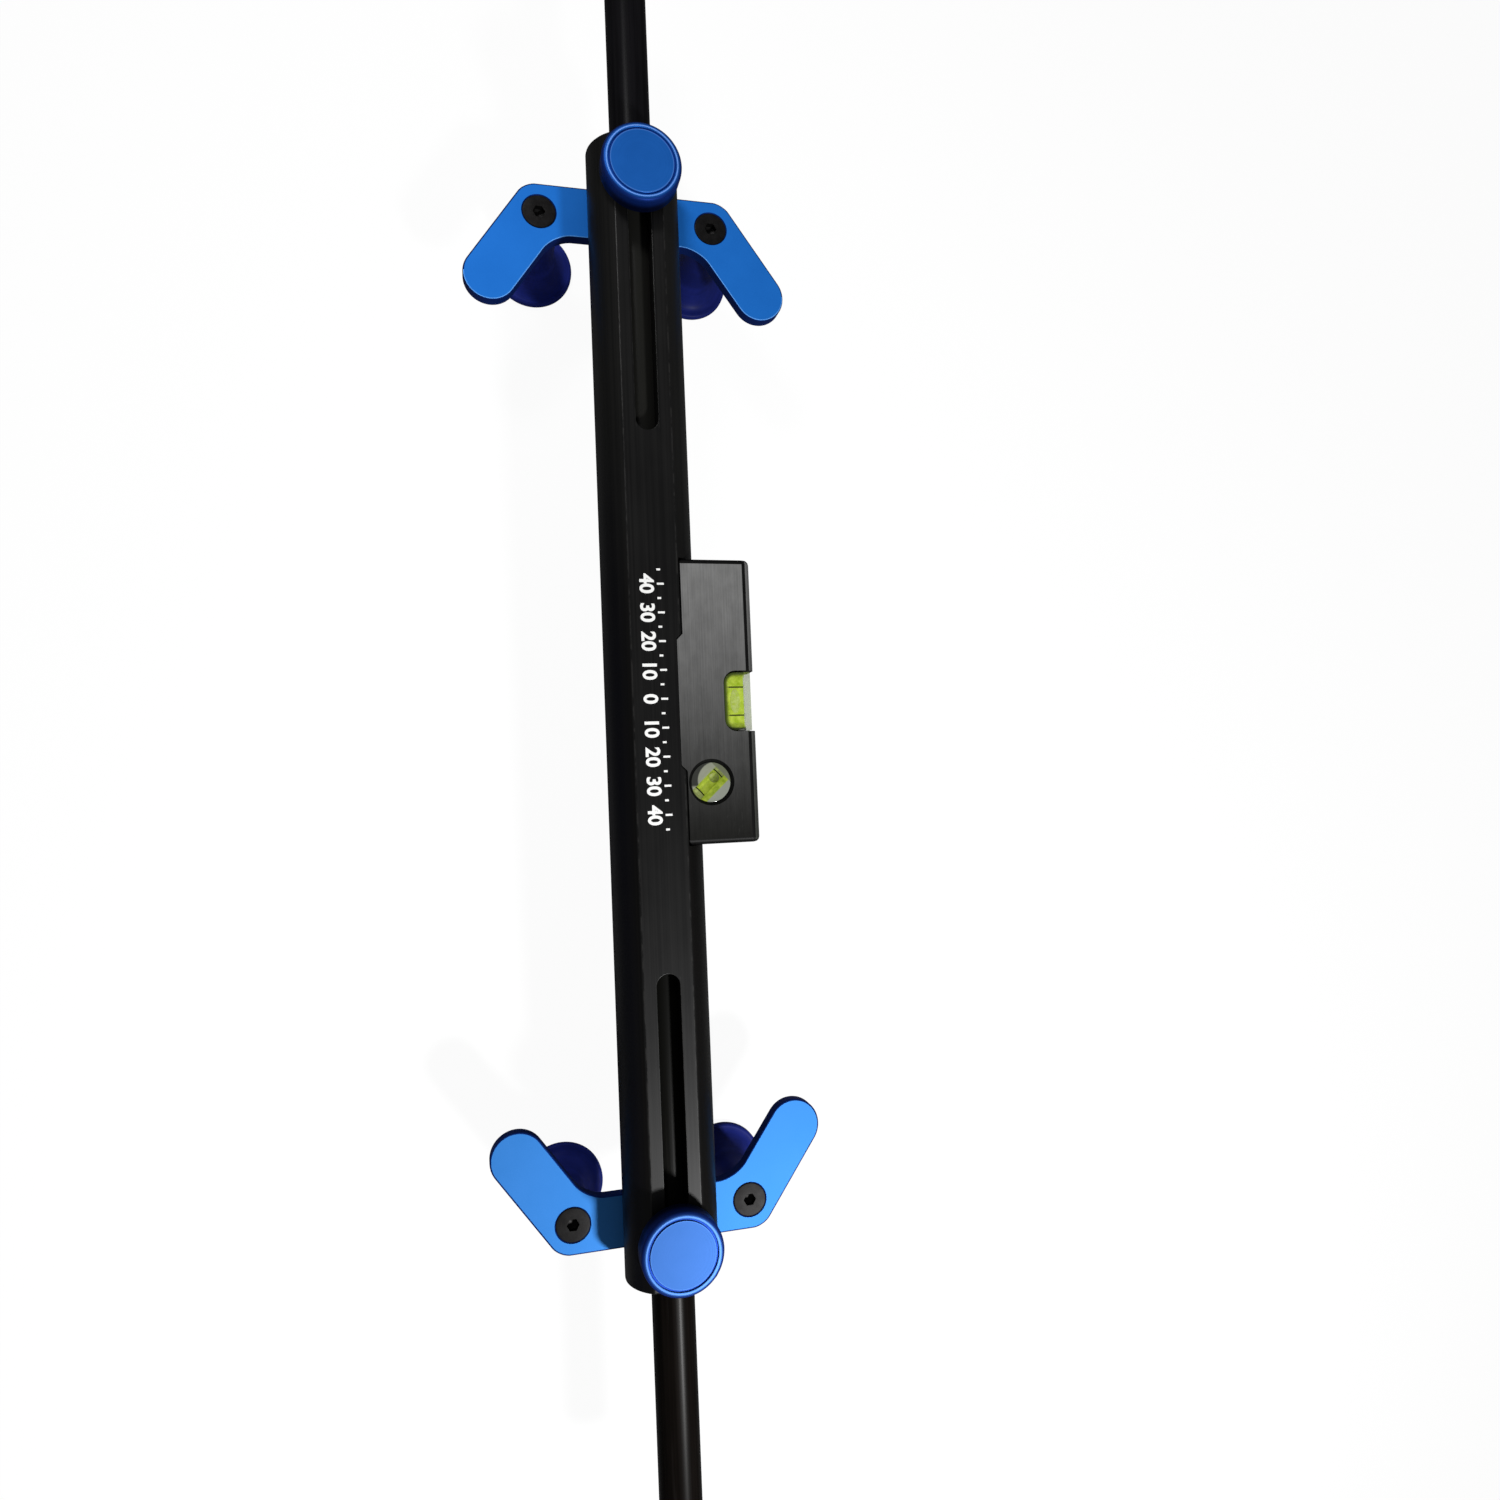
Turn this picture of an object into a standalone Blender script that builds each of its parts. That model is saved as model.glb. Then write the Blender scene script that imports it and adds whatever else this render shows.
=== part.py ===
"""Steering wheel level: a slotted round bar with a spirit level let into its side, and at each end a hooked
bracket, a rod and a clamp knob on one bolt, which slide together along the slots.

Metres, +Z up. The bar runs along X, the level is on the +Y side, and the knobs and the level's face look
up. The part stands on the back faces of its four hook posts, with the origin midway between them.
"""

import math

import bmesh
import bpy
from mathutils import Matrix, Vector

# Fits and cutters
GAP = 0.0003
WELD = 0.000003
OVERRUN = 0.001
ROUND_STEPS = 32
SMALL_STEPS = 20
ARC_STEP = math.radians(15)
SHARP_ANGLE = math.radians(35)

# Bar
BAR_LENGTH = 0.4
BAR_DIAMETER = 0.0328
BAR_ACROSS_FLATS = 0.028
BAR_BORE = 0.016
BAR_END_CHAMFER = 0.0006
BAR_STEPS = 48
SLOT_WIDTH = 0.0081
SLOT_FROM_MIDDLE = 0.0941
SLOT_END_LAND = 0.0105

# Bush in each end of the bar
BUSH_LENGTH = 0.0085
BUSH_WALL = 0.0022
BUSH_LEAD_IN = 0.0005

# Rods
ROD_DIAMETER = 0.015
ROD_WALL = 0.002
ROD_TAIL = 0.0943
ROD_REACH = 0.1127
CAP_THICKNESS = 0.003
CAP_CROWN = 0.0012
CAP_SHANK = 0.008

# Bracket
CLAMP_INSET = 0.0157
PLATE_THICKNESS = 0.005
PLATE_WIDTH = 0.0192
PLATE_SET_BACK = 0.001
PLATE_EDGE = 0.0004
PLATE_CORNER = 0.008
PLATE_FILLET = 0.013
ARM_ANGLE = math.radians(54.8)
ARM_LENGTH = 0.0318
ARM_WIDTH = 0.0195
KEY_LENGTH = 0.011
KEY_OUTBOARD = 0.004
KEY_HEIGHT = 0.005

# Hook posts and what fixes them
POST_SPREAD = 0.065
POST_LENGTH = 0.0392
POST_NECK = 0.015
POST_FLANGE = 0.0314
POST_RIM = 0.003
POST_RIM_ROUND = 0.0012
POST_FLARE = 0.0135
INSERT_DIAMETER = 0.009
INSERT_LENGTH = 0.014
POST_SCREW = 0.006
POST_SCREW_HEAD = 0.0121
POST_SCREW_LENGTH = 0.018
POST_SCREW_SOCKET = 0.004
POST_SCREW_SOCKET_DEPTH = 0.0025

# Clamp bolt, knob and washers
BOLT_DIAMETER = 0.006
BOLT_HEAD_ACROSS = 0.01
BOLT_HEAD_HEIGHT = 0.004
BOLT_TIP_CHAMFER = 0.0006
WASHER_DIAMETER = 0.012
WASHER_THICKNESS = 0.0012
KNOB_WASHER_DIAMETER = 0.017
KNOB_WASHER_THICKNESS = 0.001
KNOB_DIAMETER = 0.028
KNOB_HEIGHT = 0.008
KNOB_EDGE_ROUND = 0.0014
KNOB_BASE_EDGE = 0.0005
KNOB_RING_WIDTH = 0.0008
KNOB_GROOVE_WIDTH = 0.0006
KNOB_GROOVE_DEPTH = 0.0005
KNOB_INSERT_LENGTH = 0.006

# Spirit level
LEVEL_LENGTH = 0.1
LEVEL_HEIGHT = 0.025
LEVEL_THICKNESS = 0.014
LEVEL_SHIFT = 0.0008
LEVEL_SEAT = 0.0101
LEVEL_FACE = 0.0135
LEVEL_EDGE_ROUND = 0.0032
LIP_LENGTH = 0.0437
LIP_SHIFT = 0.0005
LIP_REACH = 0.0022
LIP_THICKNESS = 0.003
MAIN_CUT_LENGTH = 0.0213
MAIN_CUT_DEPTH = 0.0114
MAIN_CUT_SHIFT = 0.0003
MAIN_CUT_CORNER = 0.0043
MAIN_VIAL_HEIGHT = 0.0098
MAIN_VIAL_THICKNESS = 0.011
MAIN_VIAL_WALL = 0.0008
MAIN_VIAL_OUTER_WALL = 0.0022
MAIN_VIAL_LID = 0.0012
WINDOW_DIAMETER = 0.0148
WINDOW_FROM_END = 0.0215
WINDOW_FROM_SEAT = 0.0079
WINDOW_VIAL_THICKNESS = 0.0116
WINDOW_VIAL_BORE = 0.007
WINDOW_VIAL_REACH = 0.006
WINDOW_PLUG_LENGTH = 0.0014
WINDOW_VIAL_ANGLE = math.radians(133)
LEVEL_SCREW = 0.003
LEVEL_SCREW_FROM_END = 0.0071
LEVEL_SCREW_HEAD = 0.0055
LEVEL_SCREW_HEAD_HEIGHT = 0.003
LEVEL_SCREW_SOCKET = 0.0025
LEVEL_SCREW_SOCKET_DEPTH = 0.0015
LEVEL_SCREW_SEAT = 0.0102
LEVEL_SCREW_BITE = 0.0032

# Heights above the floor, built up from the posts' back faces
PLATE_BACK_Z = POST_LENGTH + GAP
AXIS_Z = PLATE_BACK_Z + PLATE_THICKNESS + GAP + BAR_ACROSS_FLATS / 2

# Places along the bar
CLAMP_X = BAR_LENGTH / 2 - CLAMP_INSET
SLOT_OUTER_X = BAR_LENGTH / 2 - SLOT_END_LAND

QUARTER_TURN = math.pi / 2
ALONG_X = Matrix.Rotation(QUARTER_TURN, 4, "Y")
ALONG_Y = Matrix.Rotation(-QUARTER_TURN, 4, "X")


def start_scene():
    for old in list(bpy.data.objects):
        bpy.data.objects.remove(old, do_unlink=True)
    made = []
    for name in ("steering_wheel_level", "cutters"):
        collection = bpy.data.collections.new(name)
        bpy.context.scene.collection.children.link(collection)
        made.append(collection)
    made[1].hide_render = True
    return made


PARTS, CUTTERS = start_scene()


def finish_material(name, colour, roughness, metallic, alpha=1.0):
    material = bpy.data.materials.new(name)
    material.use_nodes = True
    shader = material.node_tree.nodes["Principled BSDF"]
    shader.inputs["Base Color"].default_value = (*colour, 1.0)
    shader.inputs["Roughness"].default_value = roughness
    shader.inputs["Metallic"].default_value = metallic
    shader.inputs["Alpha"].default_value = alpha
    material.diffuse_color = (*colour, alpha)
    material.roughness = roughness
    material.metallic = metallic
    return material


BLACK_ANODISED = finish_material("black_anodised", (0.012, 0.012, 0.013), 0.38, 1.0)
BLUE_ANODISED = finish_material("blue_anodised", (0.02, 0.17, 0.62), 0.3, 1.0)
NAVY_NYLON = finish_material("navy_nylon", (0.008, 0.01, 0.1), 0.45, 0.0)
BLACK_OXIDE = finish_material("black_oxide_steel", (0.03, 0.026, 0.022), 0.5, 0.8)
ROD_BLACK = finish_material("rod_black", (0.014, 0.013, 0.013), 0.32, 1.0)
BRASS = finish_material("brass", (0.72, 0.52, 0.22), 0.35, 1.0)
STEEL = finish_material("zinc_steel", (0.62, 0.62, 0.6), 0.35, 1.0)
BLACK_NYLON = finish_material("black_nylon", (0.02, 0.02, 0.02), 0.55, 0.0)
WHITE_NYLON = finish_material("white_nylon", (0.75, 0.75, 0.72), 0.5, 0.0)
BRUSHED_BLACK = finish_material("brushed_black", (0.12, 0.12, 0.125), 0.42, 0.9)
CLEAR_ACRYLIC = finish_material("clear_acrylic", (0.88, 0.92, 0.88), 0.08, 0.0, 0.35)
VIAL_LIQUID = finish_material("vial_liquid", (0.42, 0.62, 0.03), 0.12, 0.0, 0.75)


def add_object(name, mesh, material=None, parent=None, location=(0, 0, 0), turn=None):
    """A node with a material, or without one a cutter that stays out of the build."""
    obj = bpy.data.objects.new(name, mesh)
    obj.matrix_basis = Matrix.Translation(location) @ (turn or Matrix.Identity(4))
    obj.parent = parent
    if material:
        mesh.materials.append(material)
        PARTS.objects.link(obj)
    else:
        obj.hide_render = True
        obj.display_type = "WIRE"
        CUTTERS.objects.link(obj)
    return obj


def shade_round(mesh):
    mesh.shade_smooth()
    mesh.set_sharp_from_angle(angle=SHARP_ANGLE)
    return mesh


def cylinder_mesh(name, diameter, length, steps=SMALL_STEPS):
    """A cylinder along Z, centred."""
    shape = bmesh.new()
    radius = diameter / 2
    bmesh.ops.create_cone(
        shape, cap_ends=True, segments=steps, radius1=radius, radius2=radius, depth=length
    )
    mesh = bpy.data.meshes.new(name)
    shape.to_mesh(mesh)
    shape.free()
    return shade_round(mesh)


def hexagon_mesh(name, across_flats, length):
    """A hexagonal prism along Z, centred."""
    return cylinder_mesh(name, across_flats / math.cos(math.pi / 6), length, 6)


def box_mesh(name, low, high):
    shape = bmesh.new()
    bmesh.ops.create_cube(shape, size=1)
    low, high = Vector(low), Vector(high)
    bmesh.ops.scale(shape, vec=high - low, verts=shape.verts)
    bmesh.ops.translate(shape, vec=(low + high) / 2, verts=shape.verts)
    mesh = bpy.data.meshes.new(name)
    shape.to_mesh(mesh)
    shape.free()
    return mesh


def arc(centre, radius, start, end):
    """Points of an arc in the XY plane, both ends included."""
    count = max(2, math.ceil(abs(end - start) / ARC_STEP))
    angles = (start + (end - start) * i / count for i in range(count + 1))
    return [(centre[0] + radius * math.cos(a), centre[1] + radius * math.sin(a)) for a in angles]


def flat_mesh(name, outline, thickness):
    """A plate of this outline, from a filled 2D curve, centred on Z = 0."""
    curve = bpy.data.curves.new(name, "CURVE")
    curve.dimensions = "2D"
    curve.fill_mode = "BOTH"
    curve.extrude = thickness / 2
    spline = curve.splines.new("POLY")
    spline.points.add(len(outline) - 1)
    for point, (x, y) in zip(spline.points, outline):
        point.co = (x, y, 0, 1)
    spline.use_cyclic_u = True
    guide = bpy.data.objects.new(name, curve)
    bpy.context.scene.collection.objects.link(guide)
    bpy.context.view_layer.update()
    graph = bpy.context.evaluated_depsgraph_get()
    mesh = bpy.data.meshes.new_from_object(guide.evaluated_get(graph))
    bpy.data.objects.remove(guide, do_unlink=True)
    bpy.data.curves.remove(curve)
    shape = bmesh.new()
    shape.from_mesh(mesh)
    bmesh.ops.remove_doubles(shape, verts=shape.verts, dist=WELD)
    bmesh.ops.recalc_face_normals(shape, faces=shape.faces)
    shape.to_mesh(mesh)
    shape.free()
    mesh.name = name
    return shade_round(mesh)


def slot_outline(x_low, x_high, width):
    """A slot along X with round ends."""
    radius = width / 2
    right = arc((x_high - radius, 0), radius, -QUARTER_TURN, QUARTER_TURN)
    left = arc((x_low + radius, 0), radius, QUARTER_TURN, QUARTER_TURN + math.pi)
    return right + left


def turned(
    name, profile, material, parent=None, location=(0, 0, 0), turn=None, steps=ROUND_STEPS, ring=False
):
    """A shape turned about Z from (radius, z) points that run down its outer side."""
    mesh = bpy.data.meshes.new(name)
    shape = bmesh.new()
    points = [shape.verts.new((radius, 0, z)) for radius, z in profile]
    following = points[1:] + (points[:1] if ring else [])
    for first, second in zip(points, following):
        shape.edges.new((first, second))
    shape.to_mesh(mesh)
    shape.free()
    obj = add_object(name, mesh, material, parent, location, turn)
    screw = obj.modifiers.new("turn", "SCREW")
    screw.axis = "Z"
    screw.steps = steps
    screw.render_steps = steps
    screw.use_merge_vertices = True
    screw.merge_threshold = WELD
    screw.use_smooth_shade = True
    return obj


def turned_ring(name, outer, inner, low, high, material, **place):
    """A washer, bush or tube between two heights, from its outer and inner diameters."""
    profile = [(outer / 2, high), (outer / 2, low), (inner / 2, low), (inner / 2, high)]
    return turned(name, profile, material, ring=True, **place)


def cut(target, cutter, operation="DIFFERENCE"):
    boolean = target.modifiers.new(cutter.name, "BOOLEAN")
    boolean.operation = operation
    boolean.solver = "EXACT"
    boolean.object = cutter
    return target


def add_empty(name, parent, location):
    empty = bpy.data.objects.new(name, None)
    empty.empty_display_size = CLAMP_INSET
    empty.location = location
    empty.parent = parent
    PARTS.objects.link(empty)
    return empty


def make_bar(axis):
    """The round bar with its two flats, bored through, slotted at both ends and notched for the level."""
    shape = bmesh.new()
    radius = BAR_DIAMETER / 2
    bmesh.ops.create_cone(
        shape, cap_ends=True, segments=BAR_STEPS, radius1=radius, radius2=radius, depth=BAR_LENGTH
    )
    bmesh.ops.transform(shape, matrix=ALONG_X, verts=shape.verts)
    for side in (-1, 1):
        geometry = shape.verts[:] + shape.edges[:] + shape.faces[:]
        flat = (0, 0, side * BAR_ACROSS_FLATS / 2)
        cut_off = bmesh.ops.bisect_plane(
            shape, geom=geometry, plane_co=flat, plane_no=(0, 0, side), clear_outer=True
        )
        rim = [item for item in cut_off["geom_cut"] if isinstance(item, bmesh.types.BMEdge)]
        bmesh.ops.holes_fill(shape, edges=rim)
    bmesh.ops.recalc_face_normals(shape, faces=shape.faces)
    end = BAR_LENGTH / 2 - GAP
    rims = [edge for edge in shape.edges if all(abs(v.co.x) > end for v in edge.verts) and
            edge.verts[0].co.x * edge.verts[1].co.x > 0]
    bmesh.ops.bevel(
        shape, geom=rims, offset=BAR_END_CHAMFER, segments=1, profile=0.5, affect="EDGES", material=-1
    )
    mesh = bpy.data.meshes.new("bar")
    shape.to_mesh(mesh)
    shape.free()
    bar = add_object("bar", shade_round(mesh), BLACK_ANODISED, axis)

    bore = cylinder_mesh("bore_cutter", BAR_BORE, BAR_LENGTH + OVERRUN, ROUND_STEPS)
    cut(bar, add_object("bore_cutter", bore, parent=axis, turn=ALONG_X))
    bush_hole = ROD_DIAMETER + 2 * (GAP + BUSH_WALL + GAP)
    depth = GAP + BUSH_LENGTH + GAP + OVERRUN
    for side, name in ((-1, "left"), (1, "right")):
        counterbore = cylinder_mesh(f"bush_cutter_{name}", bush_hole, depth, ROUND_STEPS)
        place = (side * (BAR_LENGTH / 2 + OVERRUN - depth / 2), 0, 0)
        cut(bar, add_object(counterbore.name, counterbore, parent=axis, location=place, turn=ALONG_X))
        ends = sorted((side * SLOT_FROM_MIDDLE, side * SLOT_OUTER_X))
        slot = flat_mesh(f"slot_cutter_{name}", slot_outline(*ends, SLOT_WIDTH), BAR_DIAMETER + OVERRUN)
        cut(bar, add_object(slot.name, slot, parent=axis))
    return bar


def lip_outline(clearance):
    """The lip on the level's lower edge, with 45 degree ends, grown by the clearance."""
    middle = LEVEL_SHIFT + LIP_SHIFT
    half = LIP_LENGTH / 2 + clearance
    low = LEVEL_SEAT - LIP_REACH - clearance
    high = LEVEL_SEAT + LIP_REACH
    slope = high - low
    corners = ((half, low), (half + slope, high), (-half - slope, high), (-half, low))
    return [(middle + x, y) for x, y in corners]


def notch_bar(bar, axis):
    """The level's seat: a step milled from the front, a deeper pocket for its lip, and two tapped holes."""
    half = LEVEL_LENGTH / 2 + GAP
    top = BAR_DIAMETER / 2 + OVERRUN
    low = (LEVEL_SHIFT - half, LEVEL_SEAT - GAP, LEVEL_FACE - LEVEL_THICKNESS - GAP)
    seat = box_mesh("level_seat_cutter", low, (LEVEL_SHIFT + half, top, top))
    cut(bar, add_object("level_seat_cutter", seat, parent=axis))
    floor = LEVEL_FACE - LIP_THICKNESS - GAP
    pocket = flat_mesh("lip_pocket_cutter", lip_outline(GAP), top - floor)
    cut(bar, add_object("lip_pocket_cutter", pocket, parent=axis, location=(0, 0, (top + floor) / 2)))
    depth = LEVEL_SCREW_BITE + GAP + OVERRUN
    for name, x in level_screw_places():
        hole = cylinder_mesh(f"bar_tap_cutter_{name}", LEVEL_SCREW + 2 * GAP, depth)
        place = (x, LEVEL_SEAT + OVERRUN - depth / 2 - GAP, LEVEL_FACE - LEVEL_THICKNESS / 2)
        cut(bar, add_object(hole.name, hole, parent=axis, location=place, turn=ALONG_Y))


def level_screw_places():
    reach = LEVEL_LENGTH / 2 - LEVEL_SCREW_FROM_END
    return (("left", LEVEL_SHIFT - reach), ("right", LEVEL_SHIFT + reach))


def make_bush(side, name, axis):
    """The nylon guide in the bar's end, flush with its face, with a lead-in for the rod."""
    outer = ROD_DIAMETER / 2 + GAP + BUSH_WALL
    inner = ROD_DIAMETER / 2 + GAP
    low, high = -BUSH_LENGTH / 2, BUSH_LENGTH / 2
    profile = [
        (outer, high), (outer, low), (inner + BUSH_LEAD_IN, low), (inner, low + BUSH_LEAD_IN),
        (inner, high - BUSH_LEAD_IN), (inner + BUSH_LEAD_IN, high),
    ]
    place = (side * (BAR_LENGTH / 2 - GAP - BUSH_LENGTH / 2), 0, 0)
    return turned(f"end_bush_{name}", profile, BLACK_NYLON, axis, place, ALONG_X, ring=True)


def bracket_outline(side):
    """The two-armed plate seen from the front, about the bolt, with its arms towards the bar's middle."""
    outboard = -PLATE_SET_BACK - PLATE_WIDTH / 2
    inboard = -PLATE_SET_BACK + PLATE_WIDTH / 2
    along = Vector((math.sin(ARM_ANGLE), math.cos(ARM_ANGLE)))
    square = Vector((-math.cos(ARM_ANGLE), math.sin(ARM_ANGLE)))
    bend = Vector((-PLATE_SET_BACK, POST_SPREAD / 2))
    tip = bend + along * ARM_LENGTH
    half = ARM_WIDTH / 2
    lean = math.atan2(square.y, square.x)

    corner_line = bend + square * (half - PLATE_CORNER)
    corner_x = outboard + PLATE_CORNER
    corner_y = corner_line.y + along.y * (corner_x - corner_line.x) / along.x
    corner = arc((corner_x, corner_y), PLATE_CORNER, math.pi, lean)
    end = arc(tip, half, lean, lean - math.pi)
    fillet_line = bend - square * (half + PLATE_FILLET)
    fillet_x = inboard + PLATE_FILLET
    fillet_y = fillet_line.y + along.y * (fillet_x - fillet_line.x) / along.x
    fillet = arc((fillet_x, fillet_y), PLATE_FILLET, lean, math.pi)
    half_outline = corner + end + fillet
    other_half = [(x, -y) for x, y in reversed(half_outline)]
    return [(-side * x, y) for x, y in half_outline + other_half]


def make_bracket(side, name, carriage):
    """The blue plate that hooks carry, with a key on its front that rides in the bar's rear slot."""
    front = -BAR_ACROSS_FLATS / 2 - GAP
    plate = flat_mesh(f"bracket_{name}", bracket_outline(side), PLATE_THICKNESS)
    place = (0, 0, front - PLATE_THICKNESS / 2)
    bracket = add_object(plate.name, plate, BLUE_ANODISED, carriage, place)
    edges = bracket.modifiers.new("edges", "BEVEL")
    edges.width = PLATE_EDGE
    edges.segments = 1
    edges.limit_method = "ANGLE"
    edges.angle_limit = SHARP_ANGLE

    ends = sorted((side * KEY_OUTBOARD, side * (KEY_OUTBOARD - KEY_LENGTH)))
    key_width = SLOT_WIDTH - 2 * GAP
    key = flat_mesh(f"key_{name}", slot_outline(*ends, key_width), KEY_HEIGHT + OVERRUN)
    place = (0, 0, front + (KEY_HEIGHT - OVERRUN) / 2)
    cut(bracket, add_object(key.name, key, parent=carriage, location=place), "UNION")
    through = PLATE_THICKNESS + KEY_HEIGHT + 2 * OVERRUN
    hole = cylinder_mesh(f"bolt_hole_cutter_{name}", BOLT_DIAMETER + 2 * GAP, through)
    place = (0, 0, front - PLATE_THICKNESS - OVERRUN + through / 2)
    cut(bracket, add_object(hole.name, hole, parent=carriage, location=place))

    clear = GAP * math.sqrt(2)
    head = POST_SCREW_HEAD / 2 + clear
    shank = POST_SCREW / 2 + GAP
    sink = [
        (0, OVERRUN), (head, OVERRUN), (head, 0), (shank, shank - head),
        (shank, -PLATE_THICKNESS - OVERRUN), (0, -PLATE_THICKNESS - OVERRUN),
    ]
    for level_side, word in ((-1, "near"), (1, "far")):
        place = (0, level_side * POST_SPREAD / 2, front)
        cutter = turned(f"sink_cutter_{name}_{word}", sink, None, carriage, place, steps=SMALL_STEPS)
        cut(bracket, cutter)
    return bracket


def make_post(name, carriage, y):
    """A hook post: a turned nylon horn with a threaded insert, held to the plate by a countersunk screw."""
    front = -BAR_ACROSS_FLATS / 2 - GAP
    top = front - PLATE_THICKNESS - GAP
    back = top - POST_LENGTH
    neck = POST_NECK / 2
    flange = POST_FLANGE / 2
    rim_top = back + POST_RIM
    hole = INSERT_DIAMETER / 2 + GAP
    hole_floor = top - INSERT_LENGTH - 2 * GAP
    rise = flange - neck - POST_RIM_ROUND
    flare_share = [0, 0.25, 0.5, 0.75, 1]
    quarter = [share * QUARTER_TURN for share in flare_share]
    flare = [(neck + rise * (1 - math.cos(a)), rim_top + POST_FLARE * (1 - math.sin(a))) for a in quarter]
    back_edge = POST_RIM_ROUND / 2
    rim = [(flange, rim_top - POST_RIM_ROUND), (flange, back + back_edge), (flange - back_edge, back)]
    profile = [(0, hole_floor), (hole, hole_floor), (hole, top), (neck, top)] + flare + rim + [(0, back)]
    turned(f"post_{name}", profile, NAVY_NYLON, carriage, (0, y, 0))

    turned_ring(
        f"post_insert_{name}", INSERT_DIAMETER, POST_SCREW + 2 * GAP, top - GAP - INSERT_LENGTH, top - GAP,
        BRASS, parent=carriage, location=(0, y, 0), steps=SMALL_STEPS,
    )

    head, shank = POST_SCREW_HEAD / 2, POST_SCREW / 2
    tip = -POST_SCREW_LENGTH
    screw_profile = [
        (0, 0), (head, 0), (shank, shank - head), (shank, tip + BOLT_TIP_CHAMFER),
        (shank - BOLT_TIP_CHAMFER, tip), (0, tip),
    ]
    screw = turned(
        f"post_screw_{name}", screw_profile, BLACK_OXIDE, carriage, (0, y, front), steps=SMALL_STEPS
    )
    depth = POST_SCREW_SOCKET_DEPTH + OVERRUN
    socket = hexagon_mesh(f"socket_cutter_{name}", POST_SCREW_SOCKET, depth)
    place = (0, y, front + OVERRUN - depth / 2)
    cut(screw, add_object(socket.name, socket, parent=carriage, location=place))


def make_rod(side, name, carriage):
    """The tube that slides in the bar, cross-drilled for the clamp bolt, and the plug in its outer end."""
    ends = sorted((-side * ROD_TAIL, side * ROD_REACH))
    bore = ROD_DIAMETER - 2 * ROD_WALL
    rod = turned_ring(f"rod_{name}", ROD_DIAMETER, bore, *ends, ROD_BLACK, parent=carriage, turn=ALONG_X)
    hole = cylinder_mesh(f"rod_cross_cutter_{name}", BOLT_DIAMETER + 2 * GAP, ROD_DIAMETER + OVERRUN)
    cut(rod, add_object(hole.name, hole, parent=carriage))

    radius = ROD_DIAMETER / 2
    shank = bore / 2 - GAP
    top = CAP_THICKNESS
    profile = [
        (0, top), (radius - CAP_CROWN, top), (radius, top - CAP_CROWN), (radius, 0),
        (shank, 0), (shank, -CAP_SHANK), (0, -CAP_SHANK),
    ]
    outward = Matrix.Rotation(side * QUARTER_TURN, 4, "Y")
    place = (side * (ROD_REACH + GAP), 0, 0)
    turned(f"rod_cap_{name}", profile, BLACK_NYLON, carriage, place, outward)


def make_clamp(side, name, carriage):
    """The bolt that passes up through the bracket, both slots and the rod, its washers, and the knob."""
    plate_back = -BAR_ACROSS_FLATS / 2 - GAP - PLATE_THICKNESS
    hole = BOLT_DIAMETER + 2 * GAP
    washer_top = plate_back - GAP
    turned_ring(
        f"bolt_washer_{name}", WASHER_DIAMETER, hole, washer_top - WASHER_THICKNESS, washer_top,
        STEEL, parent=carriage, steps=SMALL_STEPS,
    )
    knob_washer_low = BAR_ACROSS_FLATS / 2 + GAP
    knob_washer_top = knob_washer_low + KNOB_WASHER_THICKNESS
    turned_ring(
        f"knob_washer_{name}", KNOB_WASHER_DIAMETER, hole, knob_washer_low, knob_washer_top,
        BLACK_NYLON, parent=carriage,
    )

    head_top = washer_top - WASHER_THICKNESS - GAP
    knob_base = knob_washer_top + GAP
    insert_low = knob_base + GAP
    tip = insert_low + KNOB_INSERT_LENGTH
    radius = BOLT_DIAMETER / 2
    low = head_top - BOLT_HEAD_HEIGHT / 2
    profile = [
        (0, tip), (radius - BOLT_TIP_CHAMFER, tip), (radius, tip - BOLT_TIP_CHAMFER),
        (radius, low), (0, low),
    ]
    bolt = turned(f"clamp_bolt_{name}", profile, STEEL, carriage, steps=SMALL_STEPS)
    head = hexagon_mesh(f"bolt_head_{name}", BOLT_HEAD_ACROSS, BOLT_HEAD_HEIGHT)
    place = (0, 0, head_top - BOLT_HEAD_HEIGHT / 2)
    cut(bolt, add_object(head.name, head, parent=carriage, location=place), "UNION")

    turn_axis = add_empty(f"knob_axis_{name}", carriage, (0, 0, knob_base))
    outer = KNOB_DIAMETER / 2
    ring = outer - KNOB_EDGE_ROUND
    edge_low = KNOB_HEIGHT - KNOB_EDGE_ROUND
    edge = reversed(arc((ring, edge_low), KNOB_EDGE_ROUND, 0, QUARTER_TURN))
    groove = ring - KNOB_RING_WIDTH
    face = groove - KNOB_GROOVE_WIDTH
    bore = INSERT_DIAMETER / 2 + GAP
    roof = KNOB_INSERT_LENGTH + 2 * GAP
    floor = KNOB_HEIGHT - KNOB_GROOVE_DEPTH
    profile = [
        (0, KNOB_HEIGHT), (face, KNOB_HEIGHT), (face, floor), (groove, floor), (groove, KNOB_HEIGHT),
        *edge, (outer, KNOB_BASE_EDGE), (outer - KNOB_BASE_EDGE, 0), (bore, 0), (bore, roof), (0, roof),
    ]
    turned(f"clamp_knob_{name}", profile, BLUE_ANODISED, turn_axis)
    turned_ring(
        f"knob_insert_{name}", INSERT_DIAMETER, hole, GAP, GAP + KNOB_INSERT_LENGTH,
        BRASS, parent=turn_axis, steps=SMALL_STEPS,
    )


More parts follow.
